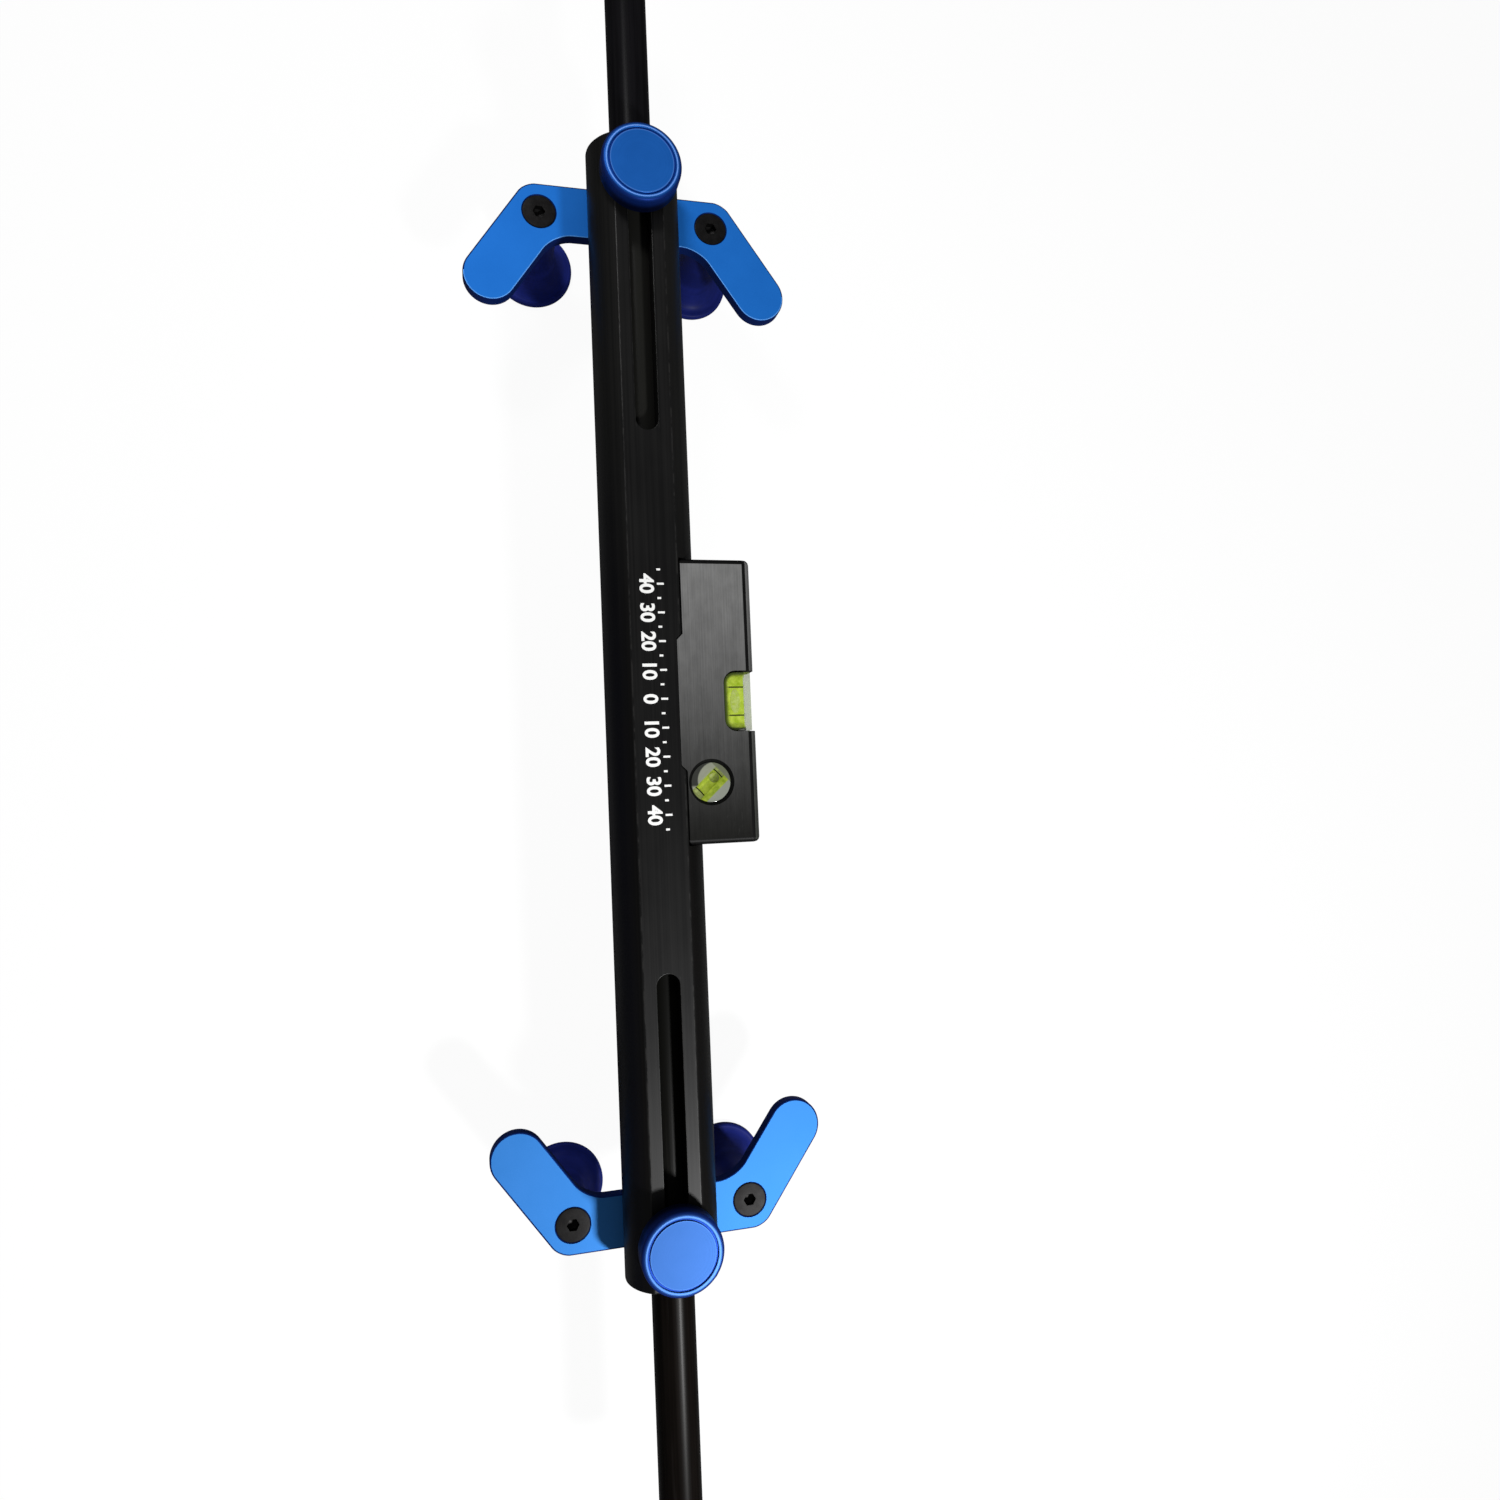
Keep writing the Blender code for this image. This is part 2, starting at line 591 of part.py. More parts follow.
def level_outline():
    """The level's block seen from the front, with the open cut for the main vial in its outer edge."""
    half = LEVEL_LENGTH / 2
    low, high = LEVEL_SEAT, LEVEL_SEAT + LEVEL_HEIGHT
    cut_half = MAIN_CUT_LENGTH / 2
    floor = high - MAIN_CUT_DEPTH
    corner = MAIN_CUT_CORNER
    right = arc((MAIN_CUT_SHIFT + cut_half - corner, floor + corner), corner, 0, -QUARTER_TURN)
    left = arc((MAIN_CUT_SHIFT - cut_half + corner, floor + corner), corner, -QUARTER_TURN, -math.pi)
    outline = [(-half, low), (half, low), (half, high), (MAIN_CUT_SHIFT + cut_half, high)]
    outline += right + left + [(MAIN_CUT_SHIFT - cut_half, high), (-half, high)]
    return [(LEVEL_SHIFT + x, y) for x, y in outline]


def make_level_body(axis):
    """The level's block: a lip in front, rounded outer edges, the two openings and the screw holes."""
    middle_z = LEVEL_FACE - LEVEL_THICKNESS / 2
    mesh = flat_mesh("level_body", level_outline(), LEVEL_THICKNESS)
    shape = bmesh.new()
    shape.from_mesh(mesh)
    outer_y = LEVEL_SEAT + LEVEL_HEIGHT - GAP
    long_edges = [
        edge for edge in shape.edges
        if all(v.co.y > outer_y for v in edge.verts) and edge.verts[0].co.z * edge.verts[1].co.z > 0
        and len(edge.link_faces) == 2 and edge.calc_face_angle() > SHARP_ANGLE
    ]
    bmesh.ops.bevel(
        shape, geom=long_edges, offset=LEVEL_EDGE_ROUND, segments=4, profile=0.5, affect="EDGES",
        material=-1,
    )
    shape.to_mesh(mesh)
    shape.free()
    body = add_object("level_body", shade_round(mesh), BRUSHED_BLACK, axis, (0, 0, middle_z))

    lip = flat_mesh("level_lip", lip_outline(0), LIP_THICKNESS)
    place = (0, 0, LEVEL_FACE - LIP_THICKNESS / 2)
    cut(body, add_object("level_lip", lip, parent=axis, location=place), "UNION")
    window = cylinder_mesh("window_cutter", WINDOW_DIAMETER, LEVEL_THICKNESS + 2 * OVERRUN, ROUND_STEPS)
    cut(body, add_object("window_cutter", window, parent=axis, location=window_place()))

    outer = LEVEL_SEAT + LEVEL_HEIGHT
    head_seat = LEVEL_SEAT + LEVEL_SCREW_SEAT
    for name, x in level_screw_places():
        depth = outer + OVERRUN - head_seat
        wide = cylinder_mesh(f"level_counterbore_cutter_{name}", LEVEL_SCREW_HEAD + 2 * GAP, depth)
        place = (x, head_seat + depth / 2, middle_z)
        cut(body, add_object(wide.name, wide, parent=axis, location=place, turn=ALONG_Y))
        long = LEVEL_SCREW_SEAT + 2 * OVERRUN
        narrow = cylinder_mesh(f"level_hole_cutter_{name}", LEVEL_SCREW + 2 * GAP, long)
        place = (x, LEVEL_SEAT + LEVEL_SCREW_SEAT / 2, middle_z)
        cut(body, add_object(narrow.name, narrow, parent=axis, location=place, turn=ALONG_Y))
    return body


def make_level_screws(axis):
    middle_z = LEVEL_FACE - LEVEL_THICKNESS / 2
    head, shank = LEVEL_SCREW_HEAD / 2, LEVEL_SCREW / 2
    tip = -LEVEL_SCREW_SEAT - LEVEL_SCREW_BITE
    high = LEVEL_SCREW_HEAD_HEIGHT
    profile = [(0, high), (head, high), (head, 0), (shank, 0), (shank, tip), (0, tip)]
    for name, x in level_screw_places():
        place = (x, LEVEL_SEAT + LEVEL_SCREW_SEAT + GAP, middle_z)
        screw = turned(
            f"level_screw_{name}", profile, BLACK_OXIDE, axis, place, ALONG_Y, steps=SMALL_STEPS
        )
        depth = LEVEL_SCREW_SOCKET_DEPTH + OVERRUN
        socket = hexagon_mesh(f"level_socket_cutter_{name}", LEVEL_SCREW_SOCKET, depth)
        up = high + OVERRUN - depth / 2
        place = (x, LEVEL_SEAT + LEVEL_SCREW_SEAT + GAP + up, middle_z)
        cut(screw, add_object(socket.name, socket, parent=axis, location=place, turn=ALONG_Y))


def window_place():
    x = LEVEL_SHIFT + LEVEL_LENGTH / 2 - WINDOW_FROM_END
    return (x, LEVEL_SEAT + WINDOW_FROM_SEAT, LEVEL_FACE - LEVEL_THICKNESS / 2)


def main_vial_mesh(name, inset, outer_inset, thickness):
    """A plate of the main vial's outline with its two inner corners rounded, drawn in by the insets."""
    half = MAIN_CUT_LENGTH / 2 - GAP - inset
    floor = LEVEL_SEAT + LEVEL_HEIGHT - MAIN_CUT_DEPTH + GAP
    low, high = floor + inset, floor + MAIN_VIAL_HEIGHT - outer_inset
    corner = MAIN_CUT_CORNER - inset
    right = arc((half - corner, low + corner), corner, -QUARTER_TURN, 0)
    left = arc((corner - half, low + corner), corner, -math.pi, -QUARTER_TURN)
    return flat_mesh(name, left + right + [(half, high), (-half, high)], thickness)


def make_main_vial(axis):
    """The clear moulded cup in the open cut, filled from behind, its liquid, and the lid that closes it."""
    middle_x = LEVEL_SHIFT + MAIN_CUT_SHIFT
    middle_z = LEVEL_FACE - LEVEL_THICKNESS / 2
    front = middle_z + MAIN_VIAL_THICKNESS / 2
    back = middle_z - MAIN_VIAL_THICKNESS / 2
    cup = main_vial_mesh("main_vial", 0, 0, MAIN_VIAL_THICKNESS)
    vial = add_object("main_vial", cup, CLEAR_ACRYLIC, axis, (middle_x, 0, middle_z))
    roof = front - MAIN_VIAL_WALL
    depth = roof - back + OVERRUN
    hollow = main_vial_mesh("main_vial_cutter", MAIN_VIAL_WALL, MAIN_VIAL_OUTER_WALL, depth)
    cut(vial, add_object(hollow.name, hollow, parent=axis, location=(middle_x, 0, roof - depth / 2)))

    inset, outer_inset = MAIN_VIAL_WALL + GAP, MAIN_VIAL_OUTER_WALL + GAP
    lid = main_vial_mesh("main_vial_lid", inset, outer_inset, MAIN_VIAL_LID)
    add_object(lid.name, lid, CLEAR_ACRYLIC, axis, (middle_x, 0, back + MAIN_VIAL_LID / 2))
    low, high = back + MAIN_VIAL_LID + GAP, roof - GAP
    liquid = main_vial_mesh("main_vial_liquid", inset, outer_inset, high - low)
    add_object(liquid.name, liquid, VIAL_LIQUID, axis, (middle_x, 0, (low + high) / 2))


def make_window_vial(axis):
    """The round clear block in the window, cross-drilled at an angle, with its own liquid and two plugs."""
    disc = cylinder_mesh("window_vial", WINDOW_DIAMETER - 2 * GAP, WINDOW_VIAL_THICKNESS, ROUND_STEPS)
    vial = add_object("window_vial", disc, CLEAR_ACRYLIC, axis, window_place())
    tilt = Matrix.Rotation(WINDOW_VIAL_ANGLE, 4, "Z") @ ALONG_X
    hole = cylinder_mesh("window_bore_cutter", WINDOW_VIAL_BORE, WINDOW_DIAMETER + OVERRUN)
    cut(vial, add_object("window_bore_cutter", hole, parent=axis, location=window_place(), turn=tilt))

    diameter = WINDOW_VIAL_BORE - 2 * GAP
    length = 2 * (WINDOW_VIAL_REACH - WINDOW_PLUG_LENGTH - GAP)
    liquid = cylinder_mesh("window_vial_liquid", diameter, length)
    add_object(liquid.name, liquid, VIAL_LIQUID, axis, window_place(), tilt)
    for side, word in ((-1, "left"), (1, "right")):
        offset = tilt @ Vector((0, 0, side * (WINDOW_VIAL_REACH - WINDOW_PLUG_LENGTH / 2)))
        plug = cylinder_mesh(f"window_vial_plug_{word}", diameter, WINDOW_PLUG_LENGTH)
        add_object(plug.name, plug, WHITE_NYLON, axis, Vector(window_place()) + offset, tilt)


def make_carriage(side, name, axis):
    """All that slides together at one end of the bar."""
    carriage = add_empty(f"carriage_{name}", axis, (side * CLAMP_X, 0, 0))
    make_bracket(side, name, carriage)
    for y_side, word in ((-1, "near"), (1, "far")):
        make_post(f"{name}_{word}", carriage, y_side * POST_SPREAD / 2)
    make_rod(side, name, carriage)
    make_clamp(side, name, carriage)


bar_axis = add_empty("bar_axis", None, (0, 0, AXIS_Z))
notch_bar(make_bar(bar_axis), bar_axis)
for end_side, end_name in ((-1, "left"), (1, "right")):
    make_bush(end_side, end_name, bar_axis)
    make_carriage(end_side, end_name, bar_axis)
make_level_body(bar_axis)
make_level_screws(bar_axis)
make_main_vial(bar_axis)
make_window_vial(bar_axis)
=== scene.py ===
import math

import bmesh
import bpy
from mathutils import Matrix, Vector


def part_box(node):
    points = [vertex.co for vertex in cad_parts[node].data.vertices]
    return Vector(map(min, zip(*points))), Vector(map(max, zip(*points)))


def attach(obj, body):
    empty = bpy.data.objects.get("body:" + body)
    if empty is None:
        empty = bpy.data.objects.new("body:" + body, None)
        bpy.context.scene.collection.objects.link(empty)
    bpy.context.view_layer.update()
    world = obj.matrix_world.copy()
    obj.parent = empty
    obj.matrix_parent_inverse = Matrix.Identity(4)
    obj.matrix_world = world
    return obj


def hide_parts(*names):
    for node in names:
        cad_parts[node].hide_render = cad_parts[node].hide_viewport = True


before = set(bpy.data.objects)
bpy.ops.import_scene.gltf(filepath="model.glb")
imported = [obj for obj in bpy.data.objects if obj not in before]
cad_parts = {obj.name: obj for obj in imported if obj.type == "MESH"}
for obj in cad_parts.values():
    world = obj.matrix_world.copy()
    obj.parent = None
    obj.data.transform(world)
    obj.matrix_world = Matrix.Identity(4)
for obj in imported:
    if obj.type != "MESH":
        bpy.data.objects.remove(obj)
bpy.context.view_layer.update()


# ---- Studio ----
# The tool stands on its four hook posts on a white table and is seen from above, a little from its near
# side. A small strong lamp stands beyond the right end and a weaker one beyond the left, in a dim room
# that looks white only when it is seen directly.

class Wire:
    """A node's output. Arithmetic on it adds Math nodes, and node() adds any other kind."""

    def __init__(self, tree, socket=None):
        self.tree = tree
        self.socket = socket

    def node(self, kind, settings=None, inputs=None, output=0):
        made = self.tree.nodes.new("ShaderNode" + kind)
        for name, value in (settings or {}).items():
            setattr(made, name, value)
        for name, value in (inputs or {}).items():
            socket = made.inputs[name]
            if isinstance(value, Wire):
                self.tree.links.new(value.socket, socket)
            else:
                socket.default_value = (*value, 1) if socket.type == "RGBA" else value
        return Wire(self.tree, made.outputs[output])

    def output(self, name):
        return Wire(self.tree, self.socket.node.outputs[name])

    def maths(self, operation, *others, clamp=False):
        settings = {"operation": operation, "use_clamp": clamp}
        return self.node("Math", settings, dict(enumerate((self, *others))))

    def __add__(self, other):
        return self.maths("ADD", other)

    def __sub__(self, other):
        return self.maths("SUBTRACT", other)

    def __rsub__(self, other):
        return -self + other

    def __mul__(self, other):
        return self.maths("MULTIPLY", other)

    def __neg__(self):
        return self * -1

    def __abs__(self):
        return self.maths("ABSOLUTE")

    __radd__ = __add__
    __rmul__ = __mul__

    def distance(self, other):
        """The long side of the right-angled triangle that these two wires make."""
        return (self * self + other * other).maths("SQRT")

    def clamped(self):
        return self.maths("ADD", 0, clamp=True)

    def between(self, low, high):
        """0 up to low, 1 from high on, and a smooth step from one to the other."""
        settings = {"interpolation_type": "SMOOTHSTEP"}
        return self.node("MapRange", settings, {"Value": self, "From Min": low, "From Max": high})

    def blend(self, first, second):
        """The first colour where this wire is 0 and the second where it is 1."""
        return self.node("Mix", {"data_type": "RGBA"}, {0: self, 6: first, 7: second}, output=2)

    def split(self):
        """A place's X, Y and Z."""
        x = self.node("SeparateXYZ", None, {"Vector": self})
        return x, x.output("Y"), x.output("Z")


camera_place = (0.033785, -0.062903, 0.426448)
camera_turn = (3.0106, -14.9246, 87.5546)
camera_lens = 25.025
camera_sensor = 36
table_size = 12
table_drop = 0.0002
white = (1, 1, 1)
table_colour = (0.9, 0.9, 0.9)
table_bounce = (0.5, 0.5, 0.5)
table_mirrored = (0.12, 0.12, 0.12)
table_glow = 0.95
room_light = 0.29
lamps = {  # place, target, size, power, spread in degrees
    "lamp_right": ((0.55, 0.29, 0.71), (0.18, 0, 0.05), 0.09, 2.37, 80),
    "lamp_left": ((-0.5, -0.22, 0.6), (-0.18, 0, 0.05), 0.16, 0.2, 50),
}

scene = bpy.context.scene
scene.view_settings.view_transform = "Standard"
camera = bpy.data.objects.new("camera", bpy.data.cameras.new("camera"))
camera.data.lens = camera_lens
camera.data.sensor_width = camera_sensor
camera.location = camera_place
camera.rotation_euler = [math.radians(angle) for angle in camera_turn]
scene.collection.objects.link(camera)
scene.camera = camera

for name, (place, target, size, power, spread) in lamps.items():
    light = bpy.data.lights.new(name, "AREA")
    light.shape = "DISK"
    light.size = size
    light.energy = power
    light.spread = math.radians(spread)
    lamp = bpy.data.objects.new(name, light)
    lamp.location = place
    lamp.rotation_euler = (Vector(target) - Vector(place)).to_track_quat("-Z", "Y").to_euler()
    scene.collection.objects.link(lamp)


def seen_directly(start):
    """1 for the rays that look at a thing, and 0 for those that light it or are mirrored in it."""
    ray = start.node("LightPath", output="Is Camera Ray")
    return ray.maths("MAXIMUM", ray.output("Is Transmission Ray"))


def start_tree(owner):
    """The emptied node tree of the world or of a material, as a wire to start from."""
    owner.use_nodes = True
    owner.node_tree.nodes.clear()
    return Wire(owner.node_tree)


def end_tree(surface, kind):
    """Ends the world's or a material's tree in this surface."""
    output = surface.tree.nodes.new("ShaderNodeOutput" + kind)
    surface.tree.links.new(surface.socket, output.inputs["Surface"])


def make_mesh(name, shape):
    """The shape as a mesh of this name. The shape is used up."""
    mesh = bpy.data.meshes.new(name)
    shape.to_mesh(mesh)
    shape.free()
    return mesh


scene.world = bpy.data.worlds.new("white_room")
room = start_tree(scene.world)
lighting = room.node("Background", None, {"Color": white, "Strength": room_light})
backdrop = room.node("Background", None, {"Color": white, "Strength": 1})
end_tree(room.node("MixShader", None, {0: seen_directly(room), 1: lighting, 2: backdrop}), "World")

table_material = bpy.data.materials.new("white_table")
top = start_tree(table_material)
seen = seen_directly(top)
mirrored = top.node("LightPath", output="Is Glossy Ray").blend(table_bounce, table_mirrored)
matt = top.node("BsdfDiffuse", None, {"Color": seen.blend(mirrored, table_colour)})
glow = top.node("Emission", None, {"Color": white, "Strength": 1})
end_tree(top.node("MixShader", None, {0: seen * table_glow, 1: matt, 2: glow}), "Material")
table_shape = bmesh.new()
bmesh.ops.create_grid(table_shape, x_segments=1, y_segments=1, size=table_size / 2)
bmesh.ops.translate(table_shape, vec=(0, 0, -table_drop), verts=table_shape.verts)
table_mesh = make_mesh("table", table_shape)
table_mesh.materials.append(table_material)
table = bpy.data.objects.new("table", table_mesh)
scene.collection.objects.link(table)


# ---- Bar ----
# A drawn round aluminium bar, milled flat in front and behind, bored through, slotted at both ends and
# cut away on one side for the level. It is anodised black, with its drawing lines still showing. Its round
# sides carry painted light and shade along its length.

bar_low, bar_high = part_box("bar")
axis_z = (bar_low.z + bar_high.z) / 2
bar_radius = bar_high.y
bar_half_length = bar_high.x
flat_half_height = (bar_high.z - bar_low.z) / 2
flat_half_width = math.sqrt(bar_radius ** 2 - flat_half_height ** 2)
bar_steps = 112
bar_end_round = 0.0009
bar_edge_round = 0.0003
bar_edge_angle = math.radians(18)
bore_radius = 0.008
bore_steps = 64
bush_hole_radius = 0.0103
bush_hole_depth = 0.0091
slot_width = 0.0081
slot_inner_x = 0.0941
slot_outer_x = 0.1895
slot_edge_round = 0.00022
seat_low_x, seat_high_x = -0.0495, 0.0511
seat_y = 0.0091
seat_floor_z = axis_z - 0.0008
pocket_depth = 0.0036
pocket_low_x, pocket_high_x = -0.02085, 0.02345
pocket_y = 0.0073
tap_radius = 0.0018
tap_steps = 32
tap_depth = 0.0028
tap_places = (-0.0421, 0.0437)
tap_z = axis_z + 0.0065
overrun = 0.001
touch = 0.00001
weld = 0.000001
sharp_angle = math.radians(38)
turn_x = Matrix.Rotation(math.pi / 2, 4, "Y")
turn_y = Matrix.Rotation(-math.pi / 2, 4, "X")


def cylinder(radius, depth, steps, turn, place):
    """A plain round blank or cutter, centred on its place."""
    shape = bmesh.new()
    matrix = Matrix.Translation(place) @ turn
    bmesh.ops.create_cone(
        shape, cap_ends=True, segments=steps, radius1=radius, radius2=radius, depth=depth, matrix=matrix
    )
    return shape


def block(low, high):
    """A rectangular blank or cutter between two corners."""
    shape = bmesh.new()
    low, high = Vector(low), Vector(high)
    bmesh.ops.create_cube(shape, size=1)
    bmesh.ops.scale(shape, vec=high - low, verts=shape.verts)
    bmesh.ops.translate(shape, vec=(low + high) / 2, verts=shape.verts)
    return shape


def plate(corners, low_z, high_z, steps=10):
    """A flat blank between two heights. Each corner is (x, y, set-back), rounded over its set-back."""
    shape = bmesh.new()
    face = shape.faces.new([shape.verts.new((x, y, low_z)) for x, y, _ in corners])
    face.normal_update()
    for point, (_, _, set_back) in zip(list(face.verts), corners):
        if set_back:
            bmesh.ops.bevel(
                shape, geom=[point], offset=set_back, segments=steps, profile=0.5, affect="VERTICES",
                material=-1,
            )
    bmesh.ops.remove_doubles(shape, verts=shape.verts, dist=weld)
    grown = bmesh.ops.extrude_face_region(shape, geom=shape.faces[:])
    tops = [item for item in grown["geom"] if isinstance(item, bmesh.types.BMVert)]
    bmesh.ops.translate(shape, vec=(0, 0, high_z - low_z), verts=tops)
    bmesh.ops.recalc_face_normals(shape, faces=shape.faces)
    return shape


def slot_plate(low_x, high_x, y, width, low_z, high_z):
    """A blank or cutter with two round ends, along X."""
    half = width / 2
    corners = [(low_x, y - half), (high_x, y - half), (high_x, y + half), (low_x, y + half)]
    return plate([(x, y_corner, half) for x, y_corner in corners], low_z, high_z)


def flared_corners(low_x, high_x, near_y, far_y):
    """The corners of a plate whose two ends flare at 45 degrees from its near side to its far side."""
    flare = far_y - near_y
    return [(low_x, near_y, 0), (high_x, near_y, 0), (high_x + flare, far_y, 0), (low_x - flare, far_y, 0)]


def carve(shape, *tools, operation="DIFFERENCE"):
    """The blank with each tool cut out of it, or joined to it."""
    made = [bpy.data.objects.new("blank", make_mesh("blank", part)) for part in (shape, *tools)]
    for obj in made:
        scene.collection.objects.link(obj)
    for cutter in made[1:]:
        step = made[0].modifiers.new("carve", "BOOLEAN")
        step.operation = operation
        step.solver = "EXACT"
        step.object = cutter
    bpy.context.view_layer.update()
    result = bmesh.new()
    result.from_object(made[0], bpy.context.evaluated_depsgraph_get())
    for obj in made:
        mesh = obj.data
        bpy.data.objects.remove(obj)
        bpy.data.meshes.remove(mesh)
    bmesh.ops.remove_doubles(result, verts=result.verts, dist=weld)
    return result


def soften(shape, width, segments=2, where=None, angle=sharp_angle):
    """Rounds the sharp edges over, or those of them that where() picks."""
    picked = [
        edge for edge in shape.edges
        if len(edge.link_faces) == 2 and edge.calc_face_angle() > angle and (not where or where(edge))
    ]
    bmesh.ops.bevel(
        shape, geom=picked, offset=width, segments=segments, profile=0.5, affect="EDGES", material=-1,
        clamp_overlap=True,
    )
    return shape


def length_x(edge):
    """How far an edge runs along the bar."""
    return abs(edge.verts[0].co.x - edge.verts[1].co.x)


def both_ends(edge, test):
    return all(test(vert.co) for vert in edge.verts)


def add_piece(name, shape, materials, body, slot, *nodes):
    """Makes a piece of this shape that moves with the body and stands for the nodes."""
    mesh = make_mesh(name, shape)
    for material in materials if isinstance(materials, list) else [materials]:
        mesh.materials.append(material)
    mesh.shade_smooth()
    mesh.set_sharp_from_angle(angle=sharp_angle)
    piece = bpy.data.objects.new(name, mesh)
    scene.collection.objects.link(piece)
    flatten = piece.modifiers.new("even_shading", "WEIGHTED_NORMAL")
    flatten.keep_sharp = True
    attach(piece, body)
    if nodes:
        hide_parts(*nodes)


def start_finish(name, constants):
    """A new material with these constants on its shader, and the place wire its patterns start from."""
    material = bpy.data.materials.new(name)
    material.use_nodes = True
    shader = material.node_tree.nodes["Principled BSDF"]
    for socket, value in constants.items():
        shader.inputs[socket].default_value = value
    return material, Wire(material.node_tree).node("TexCoord", output="Object")


def complete(material, wires):
    """Feeds the finished patterns to the material's shader."""
    shader = material.node_tree.nodes["Principled BSDF"]
    for socket, wire in wires.items():
        material.node_tree.links.new(wire.socket, shader.inputs[socket])
    return material


def grain(place, cells, detail=3, roughness=0.6):
    """Noise with this many cells a metre, one number for all directions or one for each."""
    cells = cells if isinstance(cells, tuple) else (cells, cells, cells)
    drawn = place.node("Mapping", None, {"Vector": place, "Scale": cells})
    inputs = {"Vector": drawn, "Scale": 1, "Detail": detail, "Roughness": roughness}
    return place.node("TexNoise", None, inputs)


def relief(height, strength, distance):
    return height.node("Bump", None, {"Height": height, "Strength": strength, "Distance": distance})


black_tones = ((0.0022, 0.0022, 0.0023), (0.0062, 0.0061, 0.006))
# Painted light and shade: the round sides are lighter towards the left end and darker towards the right, with
# a cool painted reflection on the near side there.
side_painted_shade_tones = ((0.0005, 0.0005, 0.0005), (0.0017, 0.0014, 0.0012))
side_painted_lit_tones = ((0.0028, 0.0028, 0.0027), (0.006, 0.0059, 0.0056))
painted_light_start, painted_light_end = -0.11, 0.01
black_painted_reflection = (0.0011, 0.0012, 0.004)
painted_reflection_end = bar_radius * 0.9
black_worn = (0.03, 0.029, 0.028)
black_lines = (5, 1400, 1400)
black_clouds = (35, 70, 70)
wear_spots = (260, 600, 600)
flat_start, flat_end = flat_half_height - 0.0005, flat_half_height - 0.0001
ridge_wear = (0.0001, 0.0004)
rim_wear = (0.0001, 0.00035)
rim_wear_start = 0.002


def make_black_anodised():
    material, place = start_finish("black_anodised_drawn", {"Specular IOR Level": 0.12})
    lines = grain(place, black_lines)
    clouds = grain(place, black_clouds)
    x, y, z = place.split()
    on_flat = abs(z - axis_z).between(flat_start, flat_end)
    ridge = 1 - abs(abs(y) - flat_half_width).between(*ridge_wear)
    slot_rim = 1 - abs(abs(y) - slot_width / 2).between(*rim_wear)
    in_slot = abs(x).between(slot_inner_x, slot_inner_x + rim_wear_start)
    worn = (ridge + slot_rim * in_slot).clamped() * on_flat * grain(place, wear_spots).between(0.42, 0.62)
    tone = (lines * 0.7 + clouds * 0.3).between(0.3, 0.7)
    # Painted light: lighter round sides towards the left end, and a cool painted reflection on the near side
    # at the right end.
    painted_light_rightward = x.between(painted_light_start, painted_light_end)
    round_side = painted_light_rightward.blend(tone.blend(*side_painted_lit_tones), tone.blend(*side_painted_shade_tones))
    colour = on_flat.blend(round_side, tone.blend(*black_tones))
    painted_reflection_side = (-y).between(flat_half_width, painted_reflection_end)
    colour = (painted_reflection_side * painted_light_rightward * 0.7).blend(colour, black_painted_reflection)
    return complete(material, {
        "Base Color": (worn * 0.35).blend(colour, black_worn),
        "Roughness": 0.34 + lines * 0.08 + clouds * 0.06 - on_flat * 0.05,
        "Normal": relief(lines, 0.2, 0.00004),
    })


bar_finish = make_black_anodised()
bar = cylinder(bar_radius, 2 * bar_half_length, bar_steps, turn_x, (0, 0, axis_z))
for side in (-1, 1):
    everything = bar.verts[:] + bar.edges[:] + bar.faces[:]
    plane = (0, 0, axis_z + side * flat_half_height)
    trimmed = bmesh.ops.bisect_plane(
        bar, geom=everything, plane_co=plane, plane_no=(0, 0, side), clear_outer=True
    )
    rim = [item for item in trimmed["geom_cut"] if isinstance(item, bmesh.types.BMEdge)]
    bmesh.ops.holes_fill(bar, edges=rim)
bmesh.ops.recalc_face_normals(bar, faces=bar.faces)
soften(bar, bar_end_round, 3, lambda edge: length_x(edge) < overrun)
soften(bar, bar_edge_round, 2, lambda edge: length_x(edge) > bar_half_length, bar_edge_angle)
cutters = [cylinder(bore_radius, 2 * bar_half_length + overrun, bore_steps, turn_x, (0, 0, axis_z))]
cut_top = bar_high.z + overrun
for side in (-1, 1):
    middle = (side * (bar_half_length + overrun - bush_hole_depth / 2), 0, axis_z)
    cutters.append(cylinder(bush_hole_radius, bush_hole_depth + overrun, bore_steps, turn_x, middle))
    ends = sorted((side * slot_inner_x, side * slot_outer_x))
    cutters.append(slot_plate(*ends, 0, slot_width, bar_low.z - overrun, cut_top))
seat_corner = (seat_high_x, bar_radius + overrun, cut_top)
cutters.append(block((seat_low_x, seat_y, seat_floor_z), seat_corner))
pocket_corners = flared_corners(pocket_low_x, pocket_high_x, pocket_y, seat_y + overrun)
cutters.append(plate(pocket_corners, bar_high.z - pocket_depth, cut_top))
for x in tap_places:
    middle = (x, seat_y + overrun - (tap_depth + overrun) / 2, tap_z)
    cutters.append(cylinder(tap_radius, tap_depth + overrun, tap_steps, turn_y, middle))
bar = carve(bar, *cutters)
soften(bar, slot_edge_round, 2, lambda edge: both_ends(
    edge, lambda point: abs(point.y) < bar_radius / 2
    and abs(abs(point.z - axis_z) - flat_half_height) < touch
))
add_piece("bar_body", bar, bar_finish, "bar", "black_anodised", "bar")


# ---- Scale ----
# A plain centring scale screen-printed in white on the bar's front flat, from the middle out to both
# sides: a mark each 5 mm, a longer one each 10 mm with its number. The ink is a thin raised film.

scale_reach = 0.045
scale_step = 0.005
mark_width = 0.0007
mark_low_y = 0.0012
mark_short = 0.0013
mark_long = 0.0024
number_size = 0.0068
number_y = -0.0047
number_weight = 0.0002
number_steps = 5
ink_depth = 0.00004
ink_tones = ((0.68, 0.68, 0.67), (0.42, 0.42, 0.42))


